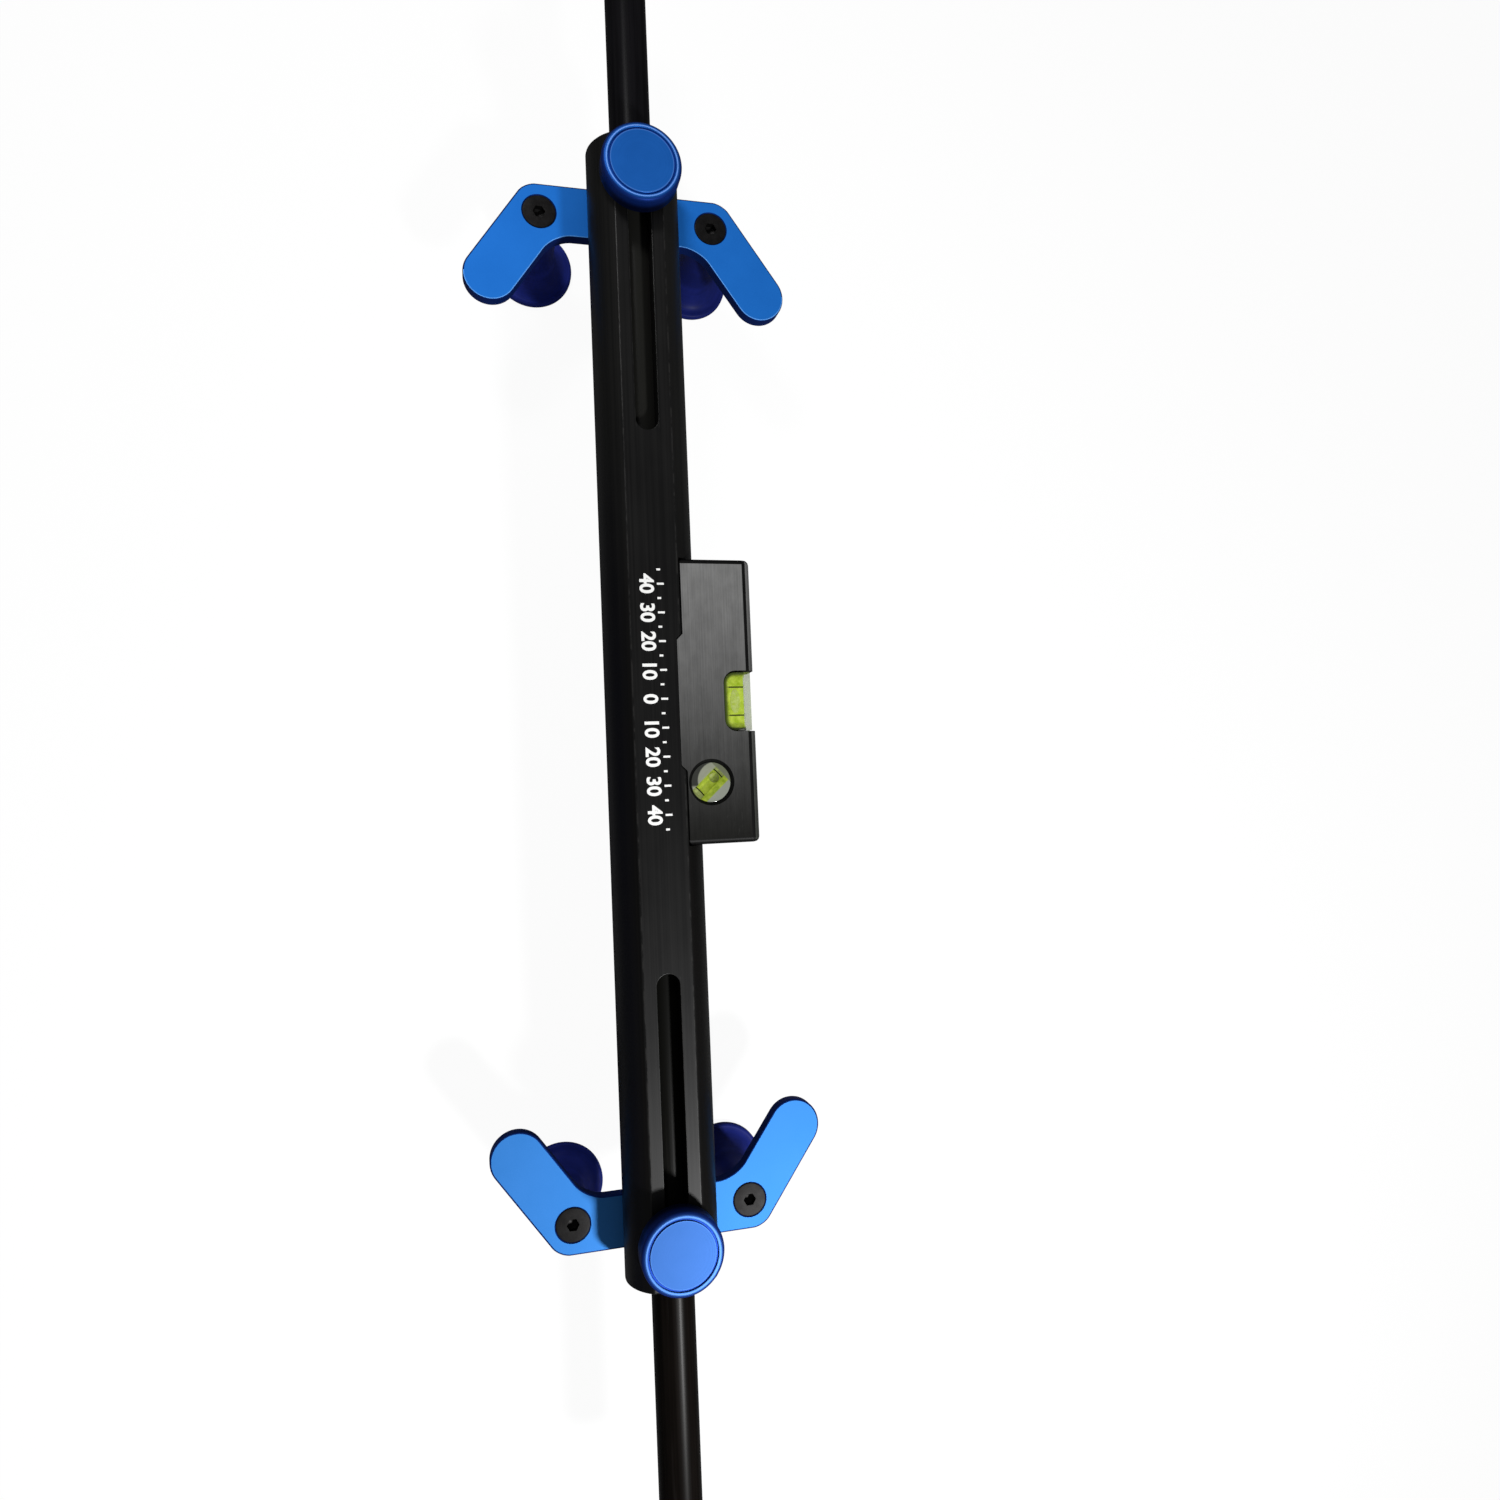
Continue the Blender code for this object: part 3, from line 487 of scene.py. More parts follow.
def make_grained(name, constants, shares, tones, spread=(0.3, 0.7), rough=None, bump=(0.2, 0.00003)):
    """A finish of noises. Shares gives each one's cells a metre and its share of the colour, and the first
    makes the relief. Rough is the lowest roughness, then what each noise adds to it."""
    material, place = start_finish(name, constants)
    noises = [grain(place, cells) for cells in shares]
    mixed = sum(noise * share for noise, share in zip(noises, shares.values()))
    colour = mixed.between(*spread).blend(*tones)
    wires = {"Base Color": colour, "Normal": relief(noises[0], *bump)}
    if rough:
        wires["Roughness"] = sum((noise * more for noise, more in zip(noises, rough[1:])), rough[0])
    # A glow set here is painted light in the finish's own colour.
    if "Emission Strength" in constants:
        wires["Emission Color"] = colour
    return complete(material, wires)


def number_shape(text, place):
    """Raised digits as a mesh, centred on the place."""
    curve = bpy.data.curves.new("digits", "FONT")
    curve.body = text
    curve.size = number_size
    curve.offset = number_weight
    curve.extrude = ink_depth / 2
    curve.align_x = "CENTER"
    curve.resolution_u = number_steps
    guide = bpy.data.objects.new("digits", curve)
    scene.collection.objects.link(guide)
    bpy.context.view_layer.update()
    graph = bpy.context.evaluated_depsgraph_get()
    mesh = bpy.data.meshes.new_from_object(guide.evaluated_get(graph))
    shape = bmesh.new()
    shape.from_mesh(mesh)
    bpy.data.objects.remove(guide)
    bpy.data.curves.remove(curve)
    bpy.data.meshes.remove(mesh)
    bmesh.ops.remove_doubles(shape, verts=shape.verts, dist=weld)
    bmesh.ops.translate(shape, vec=place, verts=shape.verts)
    bmesh.ops.recalc_face_normals(shape, faces=shape.faces)
    return shape


def together(shapes):
    """One mesh of several shapes that don't touch."""
    whole = bmesh.new()
    for shape in shapes:
        mesh = make_mesh("part", shape)
        whole.from_mesh(mesh)
        bpy.data.meshes.remove(mesh)
    return whole


ink_finish = make_grained(
    "white_ink", {"Roughness": 0.55, "Specular IOR Level": 0.3}, {1500: 0.6, 90: 0.4}, ink_tones,
    spread=(0.56, 0.75), bump=(0.15, 0.00003),
)
ink_z = bar_high.z + ink_depth / 2
steps_out = round(scale_reach / scale_step)
scale_parts = []
for step in range(-steps_out, steps_out + 1):
    x = step * scale_step
    numbered = step % 2 == 0
    reach = mark_long if numbered else mark_short
    low = (x - mark_width / 2, mark_low_y, bar_high.z)
    scale_parts.append(block(low, (x + mark_width / 2, mark_low_y + reach, bar_high.z + ink_depth)))
    if numbered:
        text = str(abs(step) * round(scale_step * 1000))
        scale_parts.append(number_shape(text, (x, number_y, ink_z)))
add_piece("bar_scale", together(scale_parts), ink_finish, "bar", "white_nylon")


# ---- Guide bushes ----
# A black nylon bush pressed into each end of the bore, which the rod slides in. Moulded, with a
# lead-in round both mouths.

bush_bore = 0.0078
bush_lead = 0.0005
spin_weld = 0.0000005
black_nylon_tones = ((0.006, 0.006, 0.006), (0.017, 0.017, 0.017))


def turned(profile, turn, place, steps=bore_steps, closed=False):
    """A lathe-turned shape from (radius, height) points, on the axis that turn lays down at the place."""
    shape = bmesh.new()
    points = [shape.verts.new((radius, 0, height)) for radius, height in profile]
    ring = points[1:] + (points[:1] if closed else [])
    edges = [shape.edges.new(pair) for pair in zip(points, ring)]
    bmesh.ops.spin(
        shape, geom=points + edges, cent=(0, 0, 0), axis=(0, 0, 1), angle=2 * math.pi, steps=steps,
        use_merge=True,
    )
    bmesh.ops.remove_doubles(shape, verts=shape.verts, dist=spin_weld)
    bmesh.ops.recalc_face_normals(shape, faces=shape.faces)
    bmesh.ops.transform(shape, matrix=Matrix.Translation(place) @ turn, verts=shape.verts)
    return shape


def tube(outer, inner, low, high, turn, place, edge, steps=bore_steps):
    """A turned ring with all its edges eased."""
    profile = [(outer, high), (outer, low), (inner, low), (inner, high)]
    return soften(turned(profile, turn, place, steps, closed=True), edge)


# A glow above 0 is painted light.
def make_nylon(name, tones, roughness, glow):
    constants = {"Specular IOR Level": 0.35, "Emission Strength": glow}
    return make_grained(
        name, constants, {2600: 0.4, 120: 0.6}, tones, rough=(roughness, 0, 0.14), bump=(0.3, 0.00003)
    )


black_nylon_finish = make_nylon("black_nylon_moulded", black_nylon_tones, 0.4, 0)
sides = {"left": -1, "right": 1}
upright = Matrix.Identity(4)
for name in sides:
    low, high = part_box(f"end_bush_{name}")
    half = (high.x - low.x) / 2
    middle = ((low.x + high.x) / 2, 0, axis_z)
    bush = tube((high.y - low.y) / 2, bush_bore, -half, half, turn_x, middle, bush_lead)
    add_piece(f"guide_bush_{name}", bush, black_nylon_finish, "bar", "black_nylon", f"end_bush_{name}")


# ---- Rods ----
# A drawn aluminium tube, anodised brown-black, that slides in each end of the bar, cross-drilled for the
# clamp bolt, and closed at its outer end by a domed nylon plug. It has paler worn spots. Painted light makes
# it paler inside the bar, where the slots show it, and lighter and bluer towards the left end.

rod_radius = 0.0075
rod_bore = 0.0055
rod_edge = 0.0004
rod_steps = 72
clamp_x = 0.1843
cross_hole_radius = 0.0033
cross_hole_steps = 32
cap_crown = 0.0011
cap_brim = 0.003
cap_clearance = 0.0003
rod_tones = ((0.0012, 0.0009, 0.0007), (0.0036, 0.0027, 0.0022))
rod_painted_lit_tones = ((0.0024, 0.0023, 0.0028), (0.0058, 0.0055, 0.0066))
rod_painted_slot_light_tones = ((0.0105, 0.0105, 0.0094), (0.0028, 0.0028, 0.0024))
rod_rubbed = (0.02, 0.018, 0.017)


def make_rod_black():
    material, place = start_finish("rod_black_drawn", {"Specular IOR Level": 0.029})
    lines = grain(place, (7, 1100, 1100))
    clouds = grain(place, (30, 160, 160))
    rub = grain(place, (14, 500, 500)).between(0.6, 0.75)
    tone = (lines * 0.6 + clouds * 0.4).between(0.3, 0.7)
    x = place.split()[0]
    # Painted light: the rod is lighter and bluer towards the left end, and paler inside the bar, where the
    # slots show it.
    painted_light_rightward = x.between(painted_light_start, painted_light_end)
    colour = painted_light_rightward.blend(tone.blend(*rod_painted_lit_tones), tone.blend(*rod_tones))
    painted_slot_light = 1 - abs(x).between(slot_outer_x, bar_half_length)
    colour = painted_slot_light.blend(colour, painted_light_rightward.blend(*rod_painted_slot_light_tones))
    return complete(material, {
        "Base Color": (rub * 0.15).blend(colour, rod_rubbed),
        "Roughness": 0.25 + lines * 0.08 + clouds * 0.05,
        "Normal": relief(lines, 0.3, 0.00004),
    })


rod_finish = make_rod_black()
for name, side in sides.items():
    low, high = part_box(f"rod_{name}")
    rod = tube(rod_radius, rod_bore, low.x, high.x, turn_x, (0, 0, axis_z), rod_edge, rod_steps)
    place = (side * clamp_x, 0, axis_z)
    rod = carve(rod, cylinder(cross_hole_radius, 4 * rod_radius, cross_hole_steps, upright, place))
    add_piece(f"slide_rod_{name}", rod, rod_finish, f"carriage_{name}", "rod_black", f"rod_{name}")
    low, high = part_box(f"rod_cap_{name}")
    outward = Matrix.Rotation(side * math.pi / 2, 4, "Y")
    face_x = high.x if side > 0 else low.x
    shank = high.x - low.x - cap_brim
    shank_radius = rod_bore - cap_clearance
    profile = [
        (0, cap_brim), (rod_radius * 0.45, cap_brim * 0.97),
        (rod_radius - cap_crown, cap_brim - cap_crown * 0.35),
        (rod_radius - cap_crown * 0.3, cap_brim - cap_crown * 0.75), (rod_radius, cap_brim - cap_crown * 1.3),
        (rod_radius, 0), (shank_radius, 0), (shank_radius, -shank), (0, -shank),
    ]
    cap = turned(profile, outward, (face_x - side * cap_brim, 0, axis_z))
    add_piece(f"rod_end_plug_{name}", cap, black_nylon_finish, f"carriage_{name}", "black_nylon",
              f"rod_cap_{name}")


# ---- Brackets ----
# A two-armed aluminium plate at each end, profiled and anodised blue, with its edges broken. Its arms
# lean towards the middle of the bar, and a key on its front rides in the bar's rear slot.

plate_back_x = -0.0106
plate_front_x = 0.0086
plate_top = 0.0445
bend_x = -0.001
post_y = 0.0325
arm_angle = math.radians(54.8)
arm_length = 0.0318
arm_half_width = 0.00975
arm_steps = 14
plate_corner = 0.008
plate_fillet = 0.013
plate_edge = 0.0006
key_width = 0.0075
key_low, key_high = -0.004, 0.007
bolt_hole_radius = 0.0033
bolt_hole_steps = 48
sink_radius = 0.00648
blue_sheen = (0.2, 0.35, 0.8, 1)
# The left and right face tones are partly two anodising baths and partly painted light: lit and shaded copies
# that balance the lamps. The edge tone paints the side walls darker as painted shade.
plate_baths_and_light = {
    "deep": ((0.009, 0.115, 0.44), (0.013, 0.14, 0.51)),
    "pale": ((0.018, 0.108, 0.315), (0.025, 0.125, 0.36)),
    "edge": ((0.0015, 0.009, 0.07), (0.0025, 0.015, 0.11)),
    "painted_edge_highlight": ((0.06, 0.24, 0.62), (0.12, 0.34, 0.78)),
}


def bracket_corners(centre_x, side):
    """The plate's sharp corners in order, each with the set-back that gives its rounding."""
    along = Vector((math.sin(arm_angle), math.cos(arm_angle)))
    square = Vector((-along.y, along.x))
    bend = Vector((bend_x, post_y))
    tip = bend + along * (arm_length + arm_half_width)
    outer = bend + square * arm_half_width
    inner = bend - square * arm_half_width
    corner = outer + along * ((plate_back_x - outer.x) / along.x)
    notch = inner + along * ((plate_front_x - inner.x) / along.x)
    turn_share = math.tan(arm_angle / 2)
    half = [
        (corner, plate_corner * turn_share), (tip + square * arm_half_width, arm_half_width),
        (tip - square * arm_half_width, arm_half_width), (notch, plate_fillet * turn_share),
    ]
    mirrored = [(Vector((point.x, -point.y)), set_back) for point, set_back in reversed(half)]
    return [(centre_x - side * point.x, point.y, set_back) for point, set_back in half + mirrored]


blue_constants = {"Metallic": 0.32, "Specular IOR Level": 0.15, "Specular Tint": blue_sheen}
plate_finishes = {
    name: make_grained(
        f"blue_anodised_{name}", blue_constants, {2400: 0.45, 45: 0.55}, bath_and_light, spread=(0.2, 0.8),
        rough=(0.48, 0.06, 0.03), bump=(0.18, 0.00003),
    )
    for name, bath_and_light in plate_baths_and_light.items()
}
for name, side in sides.items():
    low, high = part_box(f"bracket_{name}")
    x = side * clamp_x
    bracket = plate(bracket_corners(x, side), low.z, plate_top, steps=arm_steps)
    ends = sorted((x - side * key_low, x - side * key_high))
    key = slot_plate(*ends, 0, key_width, plate_top - overrun, high.z)
    soften(bracket, plate_edge, 3)
    bracket = carve(bracket, key, operation="UNION")
    tools = [cylinder(bolt_hole_radius, 4 * (high.z - low.z), bolt_hole_steps, upright, (x, 0, high.z))]
    for y in (-post_y, post_y):
        sink_floor = -2 * (plate_top - low.z)
        sink = [
            (0, overrun), (sink_radius, overrun), (sink_radius, 0),
            (bolt_hole_radius, bolt_hole_radius - sink_radius), (bolt_hole_radius, sink_floor),
            (0, sink_floor),
        ]
        tools.append(turned(sink, upright, (x, y, plate_top), bolt_hole_steps))
    bracket = carve(bracket, *tools)
    for face in bracket.faces:  # the left plate's bevels that face the level get a painted highlight
        upward = abs(face.normal.z)
        painted_edge_highlight = upward > 0.9 and name == "left" and face.normal.x > 0
        face.material_index = 0 if upward > 0.999 else 2 if painted_edge_highlight else 1
    face_bath_and_light = "deep" if name == "left" else "pale"
    finishes = [plate_finishes[part] for part in (face_bath_and_light, "edge", "painted_edge_highlight")]
    add_piece(f"bracket_plate_{name}", bracket, finishes, f"carriage_{name}", "blue_anodised",
              f"bracket_{name}")


# ---- Hook posts ----
# Four horns turned from dark blue nylon, each with a slim neck under the plate that flares to a round
# flange, so that the wheel's rim is caught behind it. A brass insert in the top takes the screw.

neck_radius = 0.0075
flange_radius = 0.0157
post_top = 0.0392
post_steps = 80
flare_top = 0.0165
flare_steps = 14
rim_top = 0.003
rim_round = 0.0012
mouth_edge = 0.0003
insert_hole = 0.0048
insert_floor = post_top - 0.0146
navy_tones = ((0.0045, 0.008, 0.068), (0.0075, 0.0125, 0.112))
navy_painted_lit_tones = ((0.0095, 0.017, 0.14), (0.0155, 0.026, 0.225))
brass_tones = ((0.5, 0.34, 0.13), (0.72, 0.52, 0.22))


def quarter_turn(steps):
    """The angles from 0 to 90 degrees, in this many steps."""
    return [step / steps * math.pi / 2 for step in range(steps + 1)]


def away_from(place, centre_x, centre_y):
    """How far a point stands from an upright axis at plus or minus centre_x, plus or minus centre_y."""
    x, y, _ = place.split()
    return (abs(x) - centre_x).distance(abs(y) - centre_y)


def lathe_rings(radius, cells):
    """The fine rings that a lathe leaves, this many a metre."""
    return radius.node("TexNoise", {"noise_dimensions": "1D"}, {"W": radius, "Scale": cells, "Detail": 2})


def make_navy():
    material, place = start_finish("navy_nylon_turned", {"Specular IOR Level": 0.05})
    fine = grain(place, 1800)
    clouds = grain(place, 90)
    rings = lathe_rings(away_from(place, clamp_x, post_y), 1900)
    tone = (clouds * 0.7 + rings * 0.3).between(0.3, 0.7)
    # Painted light: the two posts on the near side get a lighter copy of the navy, for the light they lack in
    # shade.
    no_painted_light = place.split()[1].between(-0.01, 0.01)
    return complete(material, {
        "Base Color": no_painted_light.blend(tone.blend(*navy_painted_lit_tones), tone.blend(*navy_tones)),
        "Roughness": 0.36 + clouds * 0.12,
        "Normal": relief(rings * 0.7 + fine * 0.3, 0.25, 0.00004),
    })


navy_finish = make_navy()
brass_finish = make_grained("brass_turned", {"Metallic": 1.0}, {1500: 1}, brass_tones, rough=(0.25, 0.2))
flare_rise = flange_radius - rim_round - neck_radius
flare_height = flare_top - rim_top
flare = quarter_turn(flare_steps)
horn = [
    (0, insert_floor), (insert_hole, insert_floor), (insert_hole, post_top - mouth_edge),
    (insert_hole + mouth_edge, post_top), (neck_radius - mouth_edge, post_top),
    (neck_radius, post_top - mouth_edge),
]
horn += [(neck_radius + flare_rise * (1 - math.cos(angle)), rim_top + flare_height * (1 - math.sin(angle)))
         for angle in flare]
horn += [(flange_radius - rim_round * (1 - math.sin(angle)), rim_top - rim_round * (1 - math.cos(angle)))
         for angle in flare[2:]]
horn += [(flange_radius, rim_round / 2), (flange_radius - rim_round * 0.15, rim_round * 0.15),
         (flange_radius - rim_round / 2, 0), (0, 0)]
post_places = {
    f"{name}_{row}": (name, side * clamp_x, y)
    for name, side in sides.items() for row, y in (("near", -post_y), ("far", post_y))
}
for corner, (name, x, y) in post_places.items():
    post = turned(horn, upright, (x, y, 0), post_steps)
    add_piece(f"hook_post_{corner}", post, navy_finish, f"carriage_{name}", "navy_nylon",
              f"post_{corner}")
    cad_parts[f"post_insert_{corner}"].data.materials[0] = brass_finish


# ---- Post screws ----
# Countersunk M6 screws of black-oxide steel that hold the posts to the plates, flush with them, each
# with a 4 mm hexagon socket whose floor is coned by the drill.

screw_head_radius = 0.00605
screw_head_land = 0.0003
screw_shank = 0.003
screw_tip = 0.0006
socket_across = 0.004
socket_depth = 0.0025
socket_cone = 0.0007
socket_edge = 0.00015
oxide_tones = ((0.004, 0.0036, 0.0036), (0.0105, 0.01, 0.01))
oxide_painted_shade = (0.001, 0.001, 0.001)


def make_oxide():
    material, place = start_finish("black_oxide", {"Metallic": 0.6, "Specular IOR Level": 0.08})
    fine = grain(place, 2200)
    clouds = grain(place, 300)
    rings = lathe_rings(away_from(place, clamp_x, post_y), 2600)
    # Painted shade: the screws towards the right end are darker.
    painted_light_rightward = place.split()[0].between(-0.05, 0.05)
    colour = (fine * 0.4 + clouds * 0.6).between(0.3, 0.7).blend(*oxide_tones)
    return complete(material, {
        "Base Color": (painted_light_rightward * 0.45).blend(colour, oxide_painted_shade),
        "Roughness": 0.36 + fine * 0.16,
        "Normal": relief(rings * 0.6 + fine * 0.4, 0.3, 0.00003),
    })


def hexagon_corner(across):
    """The radius at the corners of a hexagon that is this far across its flats."""
    return across / 2 / math.cos(math.pi / 6)


def socket_tool(place):
    """A hexagonal punch with a coned end, which points down from the place."""
    middle = (0, 0, (overrun - socket_depth) / 2)
    shape = cylinder(hexagon_corner(socket_across), socket_depth + overrun, 6, upright, middle)
    floor = min(shape.faces, key=lambda face: face.calc_center_median().z)
    bmesh.ops.inset_individual(shape, faces=[floor], thickness=socket_across * 0.3)
    bmesh.ops.translate(shape, vec=(0, 0, -socket_cone), verts=floor.verts)
    bmesh.ops.translate(shape, vec=place, verts=shape.verts)
    return shape


oxide_finish = make_oxide()
for corner, (name, x, y) in post_places.items():
    low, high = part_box(f"post_screw_{corner}")
    length = high.z - low.z
    profile = [
        (0, 0), (screw_head_radius - screw_head_land, 0), (screw_head_radius, -screw_head_land / 2),
        (screw_shank, screw_shank - screw_head_radius), (screw_shank, screw_tip - length),
        (screw_shank - screw_tip, -length), (0, -length),
    ]
    place = (x, y, high.z)
    screw = carve(turned(profile, upright, place), socket_tool(place))
    soften(screw, socket_edge, 2, lambda edge: both_ends(
        edge, lambda point: math.hypot(point.x - x, point.y - y) < screw_shank
        and abs(point.z - high.z) < touch
    ))
    add_piece(f"flush_screw_{corner}", screw, oxide_finish, f"carriage_{name}", "black_oxide_steel",
              f"post_screw_{corner}")


# ---- Clamp bolts and washers ----
# An M6 hexagon bolt comes up through each bracket, both slots and the rod into the knob. Bolt and rear
# washer are zinc-plated steel; a black nylon washer saves the bar's finish under the knob.

bolt_radius = 0.003
bolt_steps = 40
bolt_head_across = 0.01
bolt_head_height = 0.004
bolt_overlap = 0.0001
head_rim = bolt_head_across * 0.47
head_clearance = 0.0002
thread_pitch = 0.001
thread_depth = 0.0004
thread_length = 0.016
zinc_tones = ((0.33, 0.33, 0.34), (0.62, 0.62, 0.6))

zinc_finish = make_grained(
    "zinc_plate", {"Metallic": 1.0}, {1700: 0.3, 260: 0.7}, zinc_tones, rough=(0.26, 0, 0.2)
)
washers = {  # node: piece, finish, slot, edge
    "bolt_washer": ("steel_washer", zinc_finish, "zinc_steel", 0.00015),
    "knob_washer": ("nylon_washer", black_nylon_finish, "black_nylon", 0.0002),
}
for name, side in sides.items():
    low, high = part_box(f"clamp_bolt_{name}")
    head_top = low.z + bolt_head_height
    place = (side * clamp_x, 0, 0)
    profile = [(0, high.z), (bolt_radius - thread_depth, high.z)]
    z = high.z - thread_depth
    while z > high.z - thread_length:
        profile += [(bolt_radius, z), (bolt_radius - thread_depth, z - thread_pitch / 2)]
        z -= thread_pitch
    profile += [
        (bolt_radius, z), (bolt_radius, head_top), (bolt_radius + bolt_overlap, head_top),
        (bolt_radius + bolt_overlap, head_top - overrun), (0, head_top - overrun),
    ]
    shank = turned(profile, upright, place, bolt_steps)
    corner = hexagon_corner(bolt_head_across)
    head = cylinder(corner, bolt_head_height, 6, upright, (side * clamp_x, 0, (low.z + head_top) / 2))
    chamfer = corner - bolt_head_across / 2 * 0.95
    dome = turned([
        (0, low.z - overrun), (head_rim, low.z - overrun), (head_rim, low.z),
        (corner + head_clearance, low.z + chamfer * 1.1), (corner + head_clearance, head_top + overrun),
        (0, head_top + overrun),
    ], upright, place)
    head = carve(head, dome, operation="INTERSECT")
    bolt = carve(head, shank, operation="UNION")
    add_piece(f"hexagon_bolt_{name}", bolt, zinc_finish, f"carriage_{name}", "zinc_steel",
              f"clamp_bolt_{name}")
    for node, (piece_name, finish, slot, edge) in washers.items():
        low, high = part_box(f"{node}_{name}")
        washer = tube((high.y - low.y) / 2, bolt_hole_radius, low.z, high.z, upright, place, edge)
        add_piece(f"{piece_name}_{name}", washer, finish, f"carriage_{name}", slot, f"{node}_{name}")


# ---- Clamp knobs ----
# Round blue-anodised aluminium knobs, turned, with a rounded top edge and a fine groove round the face.
# A narrow ring by the groove is painted bright as a highlight, and the groove and side wall are painted
# dark as shade. A brass insert below turns on the bolt.

knob_radius = 0.014
knob_round = 0.0014
knob_base_edge = 0.0005
knob_steps = 112
knob_round_steps = 8
ring_edge = knob_radius - knob_round
ring_width = 0.0008
groove_width = 0.0006
groove_depth = 0.0005
groove_lip = 0.00012
groove_out = ring_edge - ring_width
groove_in = groove_out - groove_width
groove_blur = 0.00005
ring_highlight_middle = ring_edge - ring_width * 0.3
inner_highlight_middle = groove_in - 0.00025
insert_roof = 0.0066
groove_painted_shade = (0.003, 0.022, 0.2)
ring_highlight_blue = (0.14, 0.3, 0.75)
wall_painted_shade_blue = (0.0035, 0.014, 0.11)
wall_shade = (0.0006, 0.0012, 0.006)
knob_base_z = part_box("clamp_knob_left")[0].z
shade_low, shade_high = knob_base_z + 0.0025, knob_base_z + 0.006


def make_knob_blue(name, bath_and_light, ring_highlight_share):
    material, place = start_finish(
        name, {"Metallic": 0.38, "Specular IOR Level": 0.2, "Specular Tint": blue_sheen}
    )
    radius = away_from(place, clamp_x, 0)
    rings = lathe_rings(radius, 2800)
    clouds = grain(place, 70)
    fine = grain(place, 2600)
    tone = (rings * 0.3 + clouds * 0.7).between(0.2, 0.8).blend(*bath_and_light)
    # Painted shade on the side wall and in the groove, darkest low on the wall, and painted highlights on the
    # rings by the groove.
    shaded_side_wall = radius.between(knob_radius - knob_round * 1.1, knob_radius - knob_round * 0.4)
    ring = 1 - abs(radius - ring_highlight_middle).between(0.00012, 0.0003)
    inner_ring_highlight = 1 - abs(radius - inner_highlight_middle).between(0.00005, 0.00025)
    past_in = radius.between(groove_in - groove_blur, groove_in + groove_blur)
    past_out = radius.between(groove_out - groove_blur, groove_out + groove_blur)
    colour = ((ring + inner_ring_highlight * 0.3) * ring_highlight_share).blend(tone, ring_highlight_blue)
    colour = (past_in * (1 - past_out) * 0.9).blend(colour, groove_painted_shade)
    colour = (shaded_side_wall * 0.95).blend(colour, wall_painted_shade_blue)
    shaded_low_wall = 1 - place.split()[2].between(shade_low, shade_high)
    return complete(material, {
        "Base Color": (shaded_low_wall * 0.9).blend(colour, wall_shade),
        "Roughness": 0.4 + rings * 0.08 + clouds * 0.03,
        "Normal": relief(rings * 0.7 + fine * 0.3, 0.25, 0.00003),
    })


# The two knobs' tones are partly two anodising baths and partly painted light: the right one is a darker copy
# against the lamp beside it, with a weaker painted ring highlight.
knob_finishes = {
    "left": make_knob_blue("blue_turned_deep", ((0.006, 0.072, 0.3), (0.009, 0.09, 0.36)), 0.9),
    "right": make_knob_blue("blue_turned_pale", ((0.0135, 0.052, 0.168), (0.018, 0.06, 0.195)), 0.25),
}
for name, side in sides.items():
    low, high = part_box(f"clamp_knob_{name}")
    base, top_z = low.z, high.z
    profile = [
        (0, top_z), (groove_in - groove_lip, top_z), (groove_in, top_z - groove_lip),
        (groove_in, top_z - groove_depth), (groove_out, top_z - groove_depth),
        (groove_out, top_z - groove_lip), (groove_out + groove_lip, top_z),
    ]
    profile += [
        (ring_edge + knob_round * math.sin(angle), top_z - knob_round * (1 - math.cos(angle)))
        for angle in quarter_turn(knob_round_steps)
    ]
    profile += [
        (knob_radius, base + knob_base_edge), (knob_radius - knob_base_edge, base), (insert_hole, base),
        (insert_hole, base + insert_roof), (0, base + insert_roof),
    ]
    knob = turned(profile, upright, (side * clamp_x, 0, 0), knob_steps)
    add_piece(f"round_knob_{name}", knob, knob_finishes[name], f"knob_{name}", "blue_anodised",
              f"clamp_knob_{name}")
    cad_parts[f"knob_insert_{name}"].data.materials[0] = brass_finish


# ---- Level body ----
# A short aluminium block let into the bar's side, anodised black and then brushed along its length on
# both faces and its outer edge, so that bare grey shows there and its ends and openings stay black.

level_low, level_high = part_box("level_body")
level_seat = 0.0094
level_low_x, level_high_x = -0.0492, 0.0508
level_edge_round = 0.0032
level_end_edge = 0.0018
level_face_edge = 0.0003
lip_low_x, lip_high_x = -0.02055, 0.02315
lip_y = 0.0076
lip_root = 0.0022
lip_thickness = 0.003
cut_middle = 0.0011
cut_half = 0.01065
cut_floor = 0.0237
cut_corner = 0.0043
cut_edge = 0.0007
window_centre = (0.0293, 0.018)
window_radius = 0.0072
window_edge = 0.0009
window_steps = 72
counterbore = 0.00305
counterbore_steps = 40
screw_seat_y = 0.0203
level_mid_x = (level_low_x + level_high_x) / 2
level_mid_z = (level_low.z + level_high.z) / 2
level_half_length = (level_high_x - level_low_x) / 2
level_half_thickness = level_high.z - level_mid_z
brushed_tones = ((0.66, 0.66, 0.66), white)
grey_painted_highlight = (0.355, 0.355, 0.352)
grey_painted_shade = (0.008, 0.008, 0.007)
grey_edge_painted_shade = (0.085, 0.09, 0.08)
grey_scratch = (0.3, 0.3, 0.3)
level_black_tones = ((0.0015, 0.0015, 0.0015), (0.004, 0.004, 0.004))


